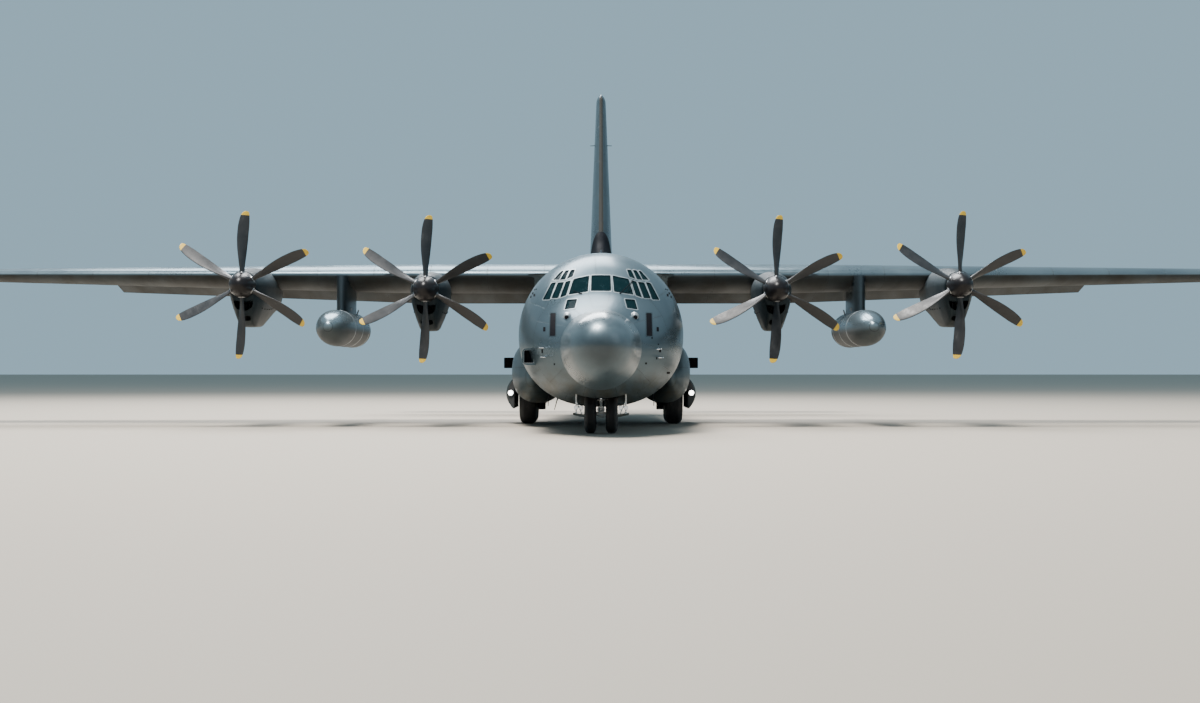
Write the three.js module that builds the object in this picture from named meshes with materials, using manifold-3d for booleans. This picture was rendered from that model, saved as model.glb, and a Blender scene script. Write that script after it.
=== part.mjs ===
// A four-engined turboprop military transport plane, parked on its wheels, as a half-size model.
// Every size below is the real aeroplane's, in millimetres; the exported group scales it to the model.
// X points to the plane's left wing, Y aft and Z up. A station is the distance aft of the nose tip.
// The ground is Z = 0, and the origin lies on it, midway between nose tip and tail tip.
import * as THREE from 'three';
import { mergeVertices } from 'three/addons/utils/BufferGeometryUtils.js';
import Module from 'manifold-3d';

const wasm = await Module();
wasm.setup();

// Driving dimensions of the whole aeroplane
const MODEL_SCALE = 0.5;
const LENGTH = 29790;
const SPAN = 40410;
const FIN_TOP = 11840;
const WALL = 110; // fuselage skin, frames and lining together
const SEAT = 0.8; // left between two pieces that touch
const CLEAR = 16; // running gap round a moving piece
const PIN_SIDES = 16;
const PIN_SLACK = 1.6; // radial gap round a hinge pin, shaft or axle

// Stations where the fuselage's pieces meet
const RADOME_END = 1300;
const NOSE_END = 5380;
const RAMP_HINGE = 17880;
const RAMP_END = 21200;
const TAIL_DOOR_END = 24600;
const CAVITY = [1410, 28600]; // the hollow inside the skin, between its two ends
const FLOOR_TOP = 1030;
const DECK_TOP = 2080;

const y = (station) => station - LENGTH / 2;

// Materials, in the paint and finishes that the photograph shows
const finish = (color, roughness, metalness = 0) =>
  new THREE.MeshStandardMaterial({ color, roughness, metalness });
const paint = finish(0x8d969b, 0.5);
const darkPaint = finish(0x3b4248, 0.55);
const blackPaint = finish(0x17181b, 0.45);
const metal = finish(0xb9bcbe, 0.35, 0.8);
const tyre = finish(0x131315, 0.9);
const lining = finish(0x6f756f, 0.8);
const glass = finish(0x25343c, 0.1);

// Turns a three.js geometry into a closed solid whose faces point outwards.
function solid(geometry) {
  const bare = geometry.index ? geometry.toNonIndexed() : geometry.clone();
  bare.deleteAttribute('normal');
  bare.deleteAttribute('uv');
  const merged = mergeVertices(bare, 1e-3);
  const build = (triVerts) => new wasm.Manifold(new wasm.Mesh({
    numProp: 3,
    vertProperties: merged.attributes.position.array,
    triVerts,
  }));
  const triangles = new Uint32Array(merged.index.array);
  const made = build(triangles);
  if (made.volume() > 0) return made;
  return build(triangles.reverse());
}

// Turns a solid back into a named mesh.
function piece(name, shape, material) {
  const data = shape.getMesh();
  const stride = data.numProp;
  const corners = new Float32Array(data.numVert * 3);
  for (let i = 0; i < data.numVert; i++) {
    corners.set(data.vertProperties.subarray(i * stride, i * stride + 3), i * 3);
  }
  const geometry = new THREE.BufferGeometry()
    .setAttribute('position', new THREE.BufferAttribute(corners, 3))
    .setIndex(new THREE.BufferAttribute(new Uint32Array(data.triVerts), 1));
  geometry.computeVertexNormals();
  const mesh = new THREE.Mesh(geometry, material);
  mesh.name = name;
  return mesh;
}

const union = (...shapes) => shapes.reduce((all, next) => all.add(next));

// A block between two corners.
function block([x0, y0, z0], [x1, y1, z1]) {
  const geometry = new THREE.BoxGeometry(Math.abs(x1 - x0), Math.abs(y1 - y0), Math.abs(z1 - z0));
  return solid(geometry.translate((x0 + x1) / 2, (y0 + y1) / 2, (z0 + z1) / 2));
}

// A round bar between two points.
function bar(from, to, radius, sides = 16) {
  const a = new THREE.Vector3(...from);
  const b = new THREE.Vector3(...to);
  const along = b.clone().sub(a);
  const geometry = new THREE.CylinderGeometry(radius, radius, along.length(), sides);
  const turn = new THREE.Quaternion().setFromUnitVectors(
    new THREE.Vector3(0, 1, 0),
    along.clone().normalize(),
  );
  const middle = a.add(b).multiplyScalar(0.5);
  return solid(geometry.applyQuaternion(turn).translate(middle.x, middle.y, middle.z));
}

// An outline drawn in one plane and pushed along the third axis, from one value to another.
// The outline's points are [X, Z] along Y, [Y, Z] along X, or [X, Y] along Z.
function prism(outline, axis, from, to) {
  const shape = new THREE.Shape(outline.map(([u, v]) => new THREE.Vector2(u, v)));
  const geometry = new THREE.ExtrudeGeometry(shape, { depth: to - from, bevelEnabled: false });
  const place = {
    Y: new THREE.Matrix4().set(1, 0, 0, 0, 0, 0, 1, from, 0, 1, 0, 0, 0, 0, 0, 1),
    X: new THREE.Matrix4().set(0, 0, 1, from, 1, 0, 0, 0, 0, 1, 0, 0, 0, 0, 0, 1),
    Z: new THREE.Matrix4().set(1, 0, 0, 0, 0, 1, 0, 0, 0, 0, 1, from, 0, 0, 0, 1),
  }[axis];
  return solid(geometry.applyMatrix4(place));
}

// A turned shape about the Y axis, from a profile of [radius, Y] pairs.
function turnedAlongY(profile, sides) {
  const points = profile.map(([radius, along]) => new THREE.Vector2(radius, along));
  return solid(new THREE.LatheGeometry(points, sides));
}

// A turned shape about the X axis, from a profile of [radius, X] pairs.
function turnedAlongX(profile, sides) {
  const points = profile.map(([radius, along]) => new THREE.Vector2(radius, along));
  return solid(new THREE.LatheGeometry(points, sides).rotateZ(-Math.PI / 2));
}

// A skin through rings of [X, Y, Z] points, closed at both ends.
function loft(rings) {
  const count = rings[0].length;
  const corners = rings.flat(2);
  const index = [];
  for (let i = 0; i < rings.length - 1; i++) {
    for (let j = 0; j < count; j++) {
      const next = (j + 1) % count;
      const a = i * count + j;
      const b = i * count + next;
      index.push(a, b, b + count, a, b + count, a + count);
    }
  }
  [[0, false], [rings.length - 1, true]].forEach(([row, facingOn]) => {
    const centre = corners.length / 3;
    const ring = rings[row];
    [0, 1, 2].forEach((k) => corners.push(ring.reduce((sum, p) => sum + p[k], 0) / count));
    for (let j = 0; j < count; j++) {
      const a = row * count + j;
      const b = row * count + (j + 1) % count;
      index.push(...(facingOn ? [a, b, centre] : [b, a, centre]));
    }
  });
  const geometry = new THREE.BufferGeometry();
  geometry.setAttribute('position', new THREE.Float32BufferAttribute(corners, 3));
  geometry.setIndex(index);
  return solid(geometry);
}

const mix = (a, b, share) => a + (b - a) * share;
const mixPoints = (a, b, share) => a.map((value, k) => mix(value, b[k], share));
const radians = THREE.MathUtils.degToRad;

// The fuselage: columns are station, half width, top, bottom, height of the widest line, and the
// roundness of the lower half, where 2 is an ellipse and more is squarer.
const FUSELAGE = [
  [0, 90, 2290, 2110, 2200, 2],
  [60, 290, 2480, 1915, 2200, 2],
  [200, 500, 2680, 1700, 2190, 2],
  [500, 730, 2890, 1440, 2170, 2],
  [900, 870, 3000, 1250, 2150, 2],
  [1300, 985, 3060, 1120, 2150, 2],
  [1800, 1270, 3220, 1000, 2170, 2],
  [2350, 1530, 3500, 900, 2220, 2.05],
  [2900, 1745, 3960, 830, 2290, 2.1],
  [3500, 1920, 4330, 780, 2370, 2.15],
  [4300, 2065, 4560, 720, 2450, 2.2],
  [5380, 2150, 4660, 650, 2510, 2.25],
  [6400, 2160, 4690, 620, 2520, 2.25],
  [17880, 2160, 4690, 620, 2520, 2.25],
  [19500, 2130, 4690, 1070, 2650, 2.25],
  [21200, 2020, 4700, 1650, 2850, 2.25],
  [23000, 1760, 4710, 2330, 3250, 2.2],
  [25000, 1360, 4720, 3050, 3750, 2.1],
  [27000, 880, 4710, 3620, 4120, 2],
  [28800, 480, 4640, 3980, 4310, 2],
  [29600, 250, 4520, 4160, 4340, 2],
  [29790, 110, 4430, 4250, 4340, 2],
];
const HULL_POINTS = 24;

// One ring of the fuselage, taken in (or, below zero, let out) by an inset.
function hullRing([station, halfWidth, top, bottom, middle, roundness], inset = 0) {
  return Array.from({ length: HULL_POINTS }, (_, k) => {
    const angle = (2 * Math.PI * k) / HULL_POINTS;
    const across = Math.cos(angle);
    const up = Math.sin(angle);
    const power = 2 / (up >= 0 ? 2 : roundness);
    const height = (up >= 0 ? top - middle : middle - bottom) - inset;
    return [
      Math.sign(across) * Math.abs(across) ** power * (halfWidth - inset),
      y(station),
      middle + Math.sign(up) * Math.abs(up) ** power * height,
    ];
  });
}

// The table's row at any station, worked out between its neighbours.
function rowAt(station) {
  const next = Math.max(1, FUSELAGE.findIndex(([place]) => place >= station));
  const [before, after] = [FUSELAGE[next - 1], FUSELAGE[next]];
  return mixPoints(before, after, (station - before[0]) / (after[0] - before[0]));
}

const hull = (inset, from = 0, to = LENGTH) => loft([
  rowAt(from),
  ...FUSELAGE.filter(([station]) => station > from && station < to),
  rowAt(to),
].map((row) => hullRing(row, inset)));
const slab = (from, to) => block([-9000, y(from), -500], [9000, y(to), 9000]);
const outerHull = hull(0);
const grownHull = hull(-SEAT);
const innerHull = hull(WALL, ...CAVITY);
const innerFit = hull(WALL + SEAT, ...CAVITY);
const shell = outerHull.subtract(innerHull);

// How far out the skin is at a station and a height.
function skinAcross(station, level) {
  const [, halfWidth, top, bottom, middle, roundness] = rowAt(station);
  const upper = level >= middle;
  const height = upper ? top - middle : middle - bottom;
  const power = upper ? 2 : roundness;
  return halfWidth * (1 - Math.abs((level - middle) / height) ** power) ** (1 / power);
}

// Lifting surfaces. A section's columns are span position, quarter-chord station, height or sideways
// place of that point, chord, nose-up twist in degrees, thickness and camber as shares of the chord.
const CENTRE_SPAN = 5588;
const WING_ROOT = { span: CENTRE_SPAN, station: 12520, level: 4310, chord: 4880, twist: 3, thick: 0.165, camber: 0.01 };
const WING_TIP = { span: SPAN / 2, station: 12520, level: 4420, chord: 2480, twist: 0.6, thick: 0.125, camber: 0.012 };
const TAIL_ROOT = { span: 0, station: 24960, level: 4850, chord: 4250, twist: 0, thick: 0.125, camber: 0 };
const TAIL_TIP = { span: 8025, station: 25500, level: 4850, chord: 1980, twist: 0, thick: 0.11, camber: 0 };
const FIN_ROOT = { span: 4560, station: 24670, level: 0, chord: 5660, twist: 0, thick: 0.14, camber: 0 };
const FIN_END = { span: FIN_TOP, station: 27100, level: 0, chord: 2200, twist: 0, thick: 0.14, camber: 0 };

const SKIN_SHARES = [1, 0.84, 0.66, 0.46, 0.28, 0.13, 0.045, 0.01];
const EDGE_SHARE = 0.003; // half the thickness of the blunt trailing edge

// Half the thickness of a section at a share of its chord.
const halfThickness = (u, thick) => 5 * thick * (0.2969 * Math.sqrt(u) - 0.126 * u
  - 0.3516 * u ** 2 + 0.2843 * u ** 3 - 0.1036 * u ** 4) + EDGE_SHARE * u;
const camberAt = (u, camber) => 4 * camber * u * (1 - u);

// Places a point of the section, in shares of the chord, in the aeroplane. A fin stands upright.
function onSection(section, upright, [u, v], grow = 0) {
  const angle = radians(section.twist);
  const back = (u - 0.25) * section.chord;
  const rise = v * section.chord + Math.sign(v) * grow;
  const station = section.station + back * Math.cos(angle) + rise * Math.sin(angle);
  const level = section.level - back * Math.sin(angle) + rise * Math.cos(angle);
  return upright ? [level, y(station), section.span] : [section.span, y(station), level];
}

// The outline of a whole section, from the trailing edge over the top to the nose and back.
function wholeOutline({ thick, camber }) {
  const skin = (side) => SKIN_SHARES.map((u) => [u, camberAt(u, camber) + side * halfThickness(u, thick)]);
  return [...skin(1), [0, 0], ...skin(-1).reverse()];
}

const COVE_ANGLE = 120; // where the fixed skin ends, measured round the hinge from straight aft
const NOSE_SHARE = 0.96; // a moving surface's nose radius as a share of the section's half thickness
const arc = (u, v, radius, from, to, steps) => Array.from({ length: steps + 1 }, (_, k) => {
  const angle = radians(mix(from, to, k / steps));
  return [u + radius * Math.cos(angle), v + radius * Math.sin(angle)];
});

// The outline of a hinged surface: a round nose on the hinge, then the section's tail.
function movingOutline({ thick, camber }, hinge) {
  const centre = camberAt(hinge, camber);
  const nose = halfThickness(hinge, thick) * NOSE_SHARE;
  const shares = [1, mix(1, hinge, 0.5), hinge];
  const skin = (side) => shares.map((u) => [u, camberAt(u, camber) + side * halfThickness(u, thick)]);
  return [...skin(1), ...arc(hinge, centre, nose, 105, 255, 5), ...skin(-1).reverse()];
}

// The outline that clears a hinged surface out of the fixed one.
function coveOutline({ chord, thick, camber }, hinge) {
  const centre = camberAt(hinge, camber);
  const radius = halfThickness(hinge, thick) + CLEAR / chord;
  const cove = arc(hinge, centre, radius, COVE_ANGLE, 360 - COVE_ANGLE, 5);
  const front = cove[0][0];
  const reach = 0.16;
  return [[1.06, reach], [front, reach], ...cove, [front, -reach], [1.06, -reach]];
}

// A lofted stretch of a panel between two span positions, which follows the panel's straight lines.
function stretch(panel, outline, from, to) {
  const ends = [panel.root, panel.tip].map(
    (section) => outline(section).map((point) => onSection(section, panel.upright, point)),
  );
  const at = (span) => {
    const share = (span - panel.root.span) / (panel.tip.span - panel.root.span);
    return ends[0].map((point, k) => mixPoints(point, ends[1][k], share));
  };
  return loft([at(from), at(to)]);
}

// The point of a surface's hinge line at a span position.
function hingePoint(panel, hinge, span) {
  const [a, b] = [panel.root, panel.tip].map(
    (section) => onSection(section, panel.upright, [hinge, camberAt(hinge, section.camber)]),
  );
  return mixPoints(a, b, (span - panel.root.span) / (panel.tip.span - panel.root.span));
}

// A whole lifting panel, let out all round where it has to cut a neighbour.
function panelSolid({ root, tip, upright }, grow = 0) {
  return loft([root, tip].map(
    (section) => wholeOutline(section).map((point) => {
      const [u, v] = point;
      const away = u === 0 ? [-grow / section.chord, 0] : [u + (u === 1 ? grow / section.chord : 0), v];
      return onSection(section, upright, away, grow);
    }),
  ));
}

// Cuts a hinged surface out of a panel. The fixed part carries a pin at each end of the cut, and the
// surface has a hole for it. Returns both, the surface's tail lowered by its angle at rest.
const PIN_RADIUS = 32;
const PIN_REACH = 130;
const SMALL_PIN_SIDES = 12;
function hinged(fixed, panel, { hinge, from, to, rest = 0, gap = CLEAR }) {
  const step = Math.sign(to - from);
  const cove = stretch(panel, (section) => coveOutline(section, hinge), from, to);
  let surface = stretch(panel, (section) => movingOutline(section, hinge), from + step * gap, to - step * gap);
  let carrier = fixed.subtract(cove);
  [[from, step], [to, -step]].forEach(([span, inwards]) => {
    const root = hingePoint(panel, hinge, span - inwards * 40);
    const tip = hingePoint(panel, hinge, span + inwards * PIN_REACH);
    const bottom = hingePoint(panel, hinge, span + inwards * (PIN_REACH + CLEAR));
    const mouth = hingePoint(panel, hinge, span - inwards * CLEAR);
    carrier = carrier.add(bar(root, tip, PIN_RADIUS, SMALL_PIN_SIDES));
    surface = surface.subtract(bar(mouth, bottom, PIN_RADIUS + PIN_SLACK, SMALL_PIN_SIDES));
  });
  const ends = [from, to].map((span) => hingePoint(panel, hinge, span));
  return { carrier, surface: turned(surface, ...ends, -rest * step) };
}

// Turns a solid about the line through two points, by the right-hand rule, in degrees.
function turned(shape, from, to, degrees) {
  const a = new THREE.Vector3(...from);
  const axis = new THREE.Vector3(...to).sub(a).normalize();
  const matrix = new THREE.Matrix4().makeTranslation(a.x, a.y, a.z)
    .multiply(new THREE.Matrix4().makeRotationAxis(axis, radians(degrees)))
    .multiply(new THREE.Matrix4().makeTranslation(-a.x, -a.y, -a.z));
  return shape.transform(matrix.elements);
}

// The wing: a centre piece through the fuselage and an outer piece on each side
const CENTRE_PANEL = {
  root: { ...WING_ROOT, span: -CENTRE_SPAN },
  tip: WING_ROOT,
};
const OUTER_PANEL = { root: WING_ROOT, tip: WING_TIP };
const FLAP_HINGE = 0.73;
const FLAP_REST = 18; // the flaps stand at half in the photograph
const AILERON_HINGE = 0.74;
const INNER_FLAP = { hinge: FLAP_HINGE, from: 2060, to: 5430, rest: FLAP_REST };
const OTHER_INNER_FLAP = { hinge: FLAP_HINGE, from: -INNER_FLAP.from, to: -INNER_FLAP.to, rest: FLAP_REST };
const OUTER_FLAP = { hinge: FLAP_HINGE, from: 5750, to: 14850, rest: FLAP_REST };
const AILERON = { hinge: AILERON_HINGE, from: 15030, to: 19860 };

const grownCentreWing = panelSolid(CENTRE_PANEL, SEAT);
const grownOuterWing = panelSolid(OUTER_PANEL, SEAT);

function buildWing() {
  const left = hinged(panelSolid(CENTRE_PANEL), CENTRE_PANEL, INNER_FLAP);
  const both = hinged(left.carrier, CENTRE_PANEL, OTHER_INNER_FLAP);
  const outer = panelSolid(OUTER_PANEL).subtract(
    block([CENTRE_SPAN - 50, y(9000), 0], [CENTRE_SPAN + SEAT, y(20000), 9000]),
  );
  const flap = hinged(outer, OUTER_PANEL, OUTER_FLAP);
  const aileron = hinged(flap.carrier, OUTER_PANEL, AILERON);
  return {
    centre: both.carrier,
    innerFlap: left.surface,
    outer: aileron.carrier,
    outerFlap: flap.surface,
    aileron: aileron.surface,
  };
}

// The tail: one stabilizer through the tail cone, a fin on top and a black dorsal fairing
const TAIL_PANEL = { root: TAIL_ROOT, tip: TAIL_TIP };
const FIN_PANEL = { root: FIN_ROOT, tip: FIN_END, upright: true };
const ELEVATOR = { hinge: 0.66, from: 800, to: 7700, gap: 34 };
const RUDDER = { hinge: 0.68, from: 5350, to: 11300, gap: 44 };

// The dorsal fairing: columns are station, height of its top and half width at its foot.
const DORSAL = [
  [18800, 4720, 60],
  [20400, 4990, 170],
  [22000, 5480, 280],
  [23300, 6080, 360],
  [24150, 6560, 400],
  [24700, 5800, 430],
  [25300, 4950, 425],
];
const DORSAL_FOOT = 4450;
const dorsalRing = ([station, top, halfWidth]) => [0, 22, 44, 66, 82, 98, 114, 136, 158, 180].map((angle) => [
  Math.cos(radians(angle)) * halfWidth,
  y(station),
  DORSAL_FOOT + Math.sin(radians(angle)) * (top - DORSAL_FOOT),
]);

function buildTail() {
  const half = panelSolid(TAIL_PANEL);
  const whole = half.add(half.mirror([1, 0, 0]));
  const grownHalf = panelSolid(TAIL_PANEL, SEAT);
  const grown = grownHalf.add(grownHalf.mirror([1, 0, 0]));
  const left = hinged(whole, TAIL_PANEL, ELEVATOR);
  const right = hinged(left.carrier.mirror([1, 0, 0]), TAIL_PANEL, ELEVATOR);
  const upright = hinged(panelSolid(FIN_PANEL), FIN_PANEL, RUDDER);
  const footing = grownHull.add(grown);
  return {
    stabilizer: right.carrier.mirror([1, 0, 0]),
    grownStabilizer: grown,
    elevator: left.surface,
    fin: upright.carrier.subtract(footing),
    rudder: upright.surface,
    dorsal: loft(DORSAL.map(dorsalRing)).subtract(footing).subtract(panelSolid(FIN_PANEL, SEAT)),
  };
}

// Nacelles: columns are distance aft of the propeller, half width, height above the shaft,
// depth below it and half width of the flat bottom.
const NACELLE = [
  [170, 400, 400, 560, 200],
  [480, 450, 450, 960, 230],
  [1100, 520, 520, 1150, 250],
  [2000, 570, 570, 1180, 260],
  [2900, 600, 590, 1100, 280],
  [4100, 560, 500, 850, 280],
  [5100, 420, 380, 620, 250],
  [5650, 260, 250, 430, 170],
];
const PROP_STATION = 8600;
const SHAFT_RADIUS = 70;
const SHAFT_REACH = 480;
const BAY = { radius: 380, sides: 14, from: 620, to: 2650 }; // ends aft of the propeller
const ENGINE = { from: 720, length: 1800 };
const INTAKE = { halfWidth: 260, top: -430, bottom: -700, depth: 1000 };
const COOLER = { halfWidth: 165, top: -850, bottom: -985, depth: 900 };
const EXHAUST = { radius: 150, drop: 190, from: 2400, to: 5900 };

function nacelleRing([back, halfWidth, rise, depth, foot]) {
  const crown = [0, 36, 72, 108, 144, 180].map((angle) => [
    Math.cos(radians(angle)) * halfWidth,
    Math.sin(radians(angle)) * rise,
  ]);
  const side = [
    [mix(halfWidth, foot, 0.12), -0.3 * depth],
    [mix(halfWidth, foot, 0.5), -0.65 * depth],
    [mix(halfWidth, foot, 0.88), -0.93 * depth],
    [foot, -depth],
  ];
  const other = side.map(([u, v]) => [-u, v]);
  return [...crown, ...other, ...[...side].reverse()].map(([u, v]) => [u, back, v]);
}

// One nacelle in its own frame: the shaft is the Y axis, and Y = 0 is the propeller's plane.
function nacelleBody() {
  const body = loft(NACELLE.map(nacelleRing));
  const bore = bar([0, 0, 0], [0, SHAFT_REACH + 60, 0], SHAFT_RADIUS + PIN_SLACK, PIN_SIDES);
  const bay = bar([0, BAY.from, 0], [0, BAY.to, 0], BAY.radius, BAY.sides);
  const duct = ({ halfWidth, top, bottom, depth }) => block([-halfWidth, 0, bottom], [halfWidth, depth, top]);
  const riser = block([-200, INTAKE.depth - 300, INTAKE.top - 50], [200, INTAKE.depth, -300]);
  const exhaust = bar([0, EXHAUST.from, -EXHAUST.drop], [0, EXHAUST.to, -EXHAUST.drop], EXHAUST.radius, 12);
  return body.subtract(union(bore, bay, duct(INTAKE), riser, duct(COOLER), exhaust));
}

// The engine is a plain drum that fits its bay.
const engineBlock = () => bar(
  [0, ENGINE.from, 0],
  [0, ENGINE.from + ENGINE.length, 0],
  BAY.radius - SEAT,
  BAY.sides,
);

// A propeller: a pointed spinner with a shaft behind it, and six broad blades.
const BLADES = 6;
const SPINNER = [[0, -640], [150, -550], [300, -280], [365, 140]];
// A blade's columns are radius, chord, thickness and pitch from the plane of rotation in degrees.
const BLADE = [
  [250, 170, 150, 62],
  [700, 250, 56, 50],
  [1250, 340, 32, 38],
  [1800, 300, 20, 30],
  [2057, 130, 12, 27],
];
const BLADE_SECTION = [[0.5, 0], [0, 0.5], [-0.5, 0], [0, -0.5]];
function bladeRing([radius, chord, thickness, pitch]) {
  const turn = radians(pitch);
  return BLADE_SECTION.map(([u, v]) => {
    const across = u * chord;
    const through = v * thickness;
    return [
      across * Math.cos(turn) - through * Math.sin(turn),
      across * Math.sin(turn) + through * Math.cos(turn),
      radius,
    ];
  });
}
function propellerSolid() {
  const profile = [...SPINNER, [SHAFT_RADIUS, 140], [SHAFT_RADIUS, SHAFT_REACH], [0, SHAFT_REACH]];
  const blade = loft(BLADE.map(bladeRing));
  let whole = turnedAlongY(profile, PIN_SIDES);
  for (let k = 0; k < BLADES; k++) {
    whole = whole.add(blade.rotate([0, (360 / BLADES) * k, 0]));
  }
  return whole;
}

// External tanks hang from pylons midway between the engines.
const TANK_SPAN = 7560;
const TANK_LEVEL = 2800;
const TANK_RADIUS = 520;
// A tank's columns are radius and station.
const TANK = [
  [0, 8300], [170, 8410], [310, 8670], [425, 9150], [TANK_RADIUS, 10400],
  [TANK_RADIUS, 13700], [400, 15000], [200, 16400], [0, 17500],
];
const PYLON = { halfWidth: 220, front: 11100, back: 14350, top: 4350, bottom: 3000 };

const tankSolid = (grow) => turnedAlongY(
  TANK.map(([radius, station], k) => [radius ? radius + grow : 0, y(station) + (k ? 0 : -grow)]),
  16,
).translate([TANK_SPAN, 0, TANK_LEVEL]);

function pylonSolid() {
  const { halfWidth, front, back, top, bottom } = PYLON;
  const outline = [
    [TANK_SPAN, y(front)],
    [TANK_SPAN + halfWidth, y(front + 420)],
    [TANK_SPAN + halfWidth, y(back - 700)],
    [TANK_SPAN, y(back)],
    [TANK_SPAN - halfWidth, y(back - 700)],
    [TANK_SPAN - halfWidth, y(front + 420)],
  ];
  return prism(outline, 'Z', bottom, top);
}

// Sponsons over the main wheels: columns are station, centre across, centre height, half width
// and half height.
const SPONSON = [
  [8600, 1930, 1400, 130, 220],
  [9200, 1900, 1460, 430, 600],
  [10200, 1850, 1530, 680, 850],
  [11300, 1810, 1570, 780, 920],
  [15050, 1810, 1570, 780, 920],
  [15700, 1830, 1600, 640, 760],
  [16200, 1900, 1640, 350, 430],
  [16420, 1980, 1680, 130, 160],
];
const SPONSON_POINTS = 20;
const SPONSON_ROUNDNESS = 2.3;
const WELL = { from: 11820, to: 15060, inner: 1560, outer: 2700, top: 1850, doorTop: 1460 };
const SIDE_BOX = { from: 15080, to: 15560, inner: 2350, outer: 3020, bottom: 1660, top: 1990 };

function sponsonSolid() {
  const body = loft(SPONSON.map(([station, across, level, halfWidth, halfHeight]) => Array.from(
    { length: SPONSON_POINTS },
    (_, k) => {
      const angle = (2 * Math.PI * k) / SPONSON_POINTS;
      const power = 2 / SPONSON_ROUNDNESS;
      const c = Math.cos(angle);
      const s = Math.sin(angle);
      return [
        across + Math.sign(c) * Math.abs(c) ** power * halfWidth,
        y(station),
        level + Math.sign(s) * Math.abs(s) ** power * halfHeight,
      ];
    },
  )));
  const well = block([1000, y(WELL.from), -100], [2480, y(WELL.to), WELL.top]);
  const doorway = block([1000, y(WELL.from), -100], [WELL.outer, y(WELL.to), WELL.doorTop]);
  const { from, to, inner, outer, bottom, top } = SIDE_BOX;
  const sideBox = block([inner, y(from), bottom], [outer, y(to), top]);
  return body.add(sideBox).subtract(union(grownHull, well, doorway));
}

// Main wheels: two in line on each side, on legs that stand against the well's inner wall
const MAIN_AXLES = [12690, 14210];
const MAIN_TRACK = 4340;
const MAIN_RADIUS = 711;
const MAIN_HALF_WIDTH = 255;
const MAIN_AXLE_RADIUS = 62;
const LEG_ACROSS = 1745;
const HUB_SHARE = 0.62; // half the hub's width as a share of the tyre's
const CAP = 24; // thickness of the cap on an axle's end

// A wheel and its tyre, turned about X, with a hole for the axle. It stands on a flat of its rim.
const WHEEL_SIDES = 16;
function wheelSolid(radius, halfWidth, rim, bore) {
  const shoulder = radius - 0.3 * halfWidth;
  const half = [
    [radius, 0.5 * halfWidth],
    [shoulder, 0.88 * halfWidth],
    [mix(rim, radius, 0.5), halfWidth],
    [rim, 0.8 * halfWidth],
    [rim - 25, HUB_SHARE * halfWidth],
    [bore, HUB_SHARE * halfWidth],
  ];
  const other = half.map(([r, x]) => [r, -x]).reverse();
  const toFlats = 1 / Math.cos(Math.PI / WHEEL_SIDES);
  const profile = [...half, ...other, half[0]].map(([r, x]) => [r > bore ? r * toFlats : r, x]);
  return turnedAlongX(profile, WHEEL_SIDES).rotate([180 / WHEEL_SIDES, 0, 0]);
}

function mainLegSolid() {
  const [front, back] = MAIN_AXLES.map(y);
  const wall = WELL.inner + SEAT;
  const outerEnd = MAIN_TRACK / 2 + HUB_SHARE * MAIN_HALF_WIDTH + 12 + CAP;
  const parts = [block([wall, front - 250, 1480], [LEG_ACROSS + 60, back + 250, 1640])];
  [front, back].forEach((place) => {
    parts.push(bar([LEG_ACROSS, place, 600], [LEG_ACROSS, place, 1780], 105, 10));
    parts.push(block([wall, place - 80, 1250], [LEG_ACROSS, place + 80, 1780]));
    parts.push(bar([LEG_ACROSS, place, MAIN_RADIUS], [outerEnd, place, MAIN_RADIUS], MAIN_AXLE_RADIUS, PIN_SIDES));
    parts.push(bar([outerEnd - CAP, place, MAIN_RADIUS], [outerEnd, place, MAIN_RADIUS], MAIN_AXLE_RADIUS + 35, 10));
  });
  return union(...parts);
}

// The main wheel door hangs open outside the wheels, its lamp at the front end.
const MAIN_DOOR = { from: 11900, to: 14980, lampAcross: 2665, lampLevel: 930, lampRadius: 85 };
const MAIN_DOOR_OUTLINE = [
  [2530, 1400], [2620, 1330], [2730, 1180], [2790, 1010], [2790, 830], [2720, 640],
  [2600, 470], [2545, 470], [2555, 700], [2560, 1000], [2545, 1300],
];
function mainDoorSolid() {
  const { from, to, lampAcross, lampLevel, lampRadius } = MAIN_DOOR;
  const panel = prism(MAIN_DOOR_OUTLINE, 'Y', y(from), y(to));
  const lamp = bar([lampAcross, y(from) - 40, lampLevel], [lampAcross, y(from) + 20, lampLevel], lampRadius, 14);
  const lugs = [from + 300, to - 400].map(
    (station) => block([2520, y(station), 1350], [2600, y(station + 100), WELL.doorTop - SEAT]),
  );
  return union(panel, lamp, ...lugs);
}

// The nose gear: a fixed leg, a steered piston with the axle's bearing, and twin wheels on one axle
const NOSE_AXLE = 3670;
const NOSE_RADIUS = 495;
const NOSE_TYRE_HALF_WIDTH = 152;
const NOSE_WHEEL_ACROSS = 270;
const NOSE_AXLE_RADIUS = 50;
const PISTON_RADIUS = 72;
const NOSE_WELL = { halfWidth: 630, from: 2320, to: 4420, top: 1800, wall: 60 };

function noseLegSolid() {
  const place = y(NOSE_AXLE);
  const ceiling = NOSE_WELL.top - SEAT;
  const cylinder = bar([0, place, 980], [0, place, ceiling], 115, 18);
  const collar = bar([0, place, 980], [0, place, 1060], 135, 18);
  const brace = bar([0, place, 1250], [0, place - 950, ceiling - 60], 45, 10);
  const foot = block([-120, place - 1060, ceiling - 130], [120, place - 860, ceiling]);
  const trunnion = block([-300, place - 70, ceiling - 150], [300, place + 70, ceiling]);
  const bore = bar([0, place, 900], [0, place, 1600], PISTON_RADIUS + PIN_SLACK, PIN_SIDES);
  return union(cylinder, collar, brace, foot, trunnion).subtract(bore);
}

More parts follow.
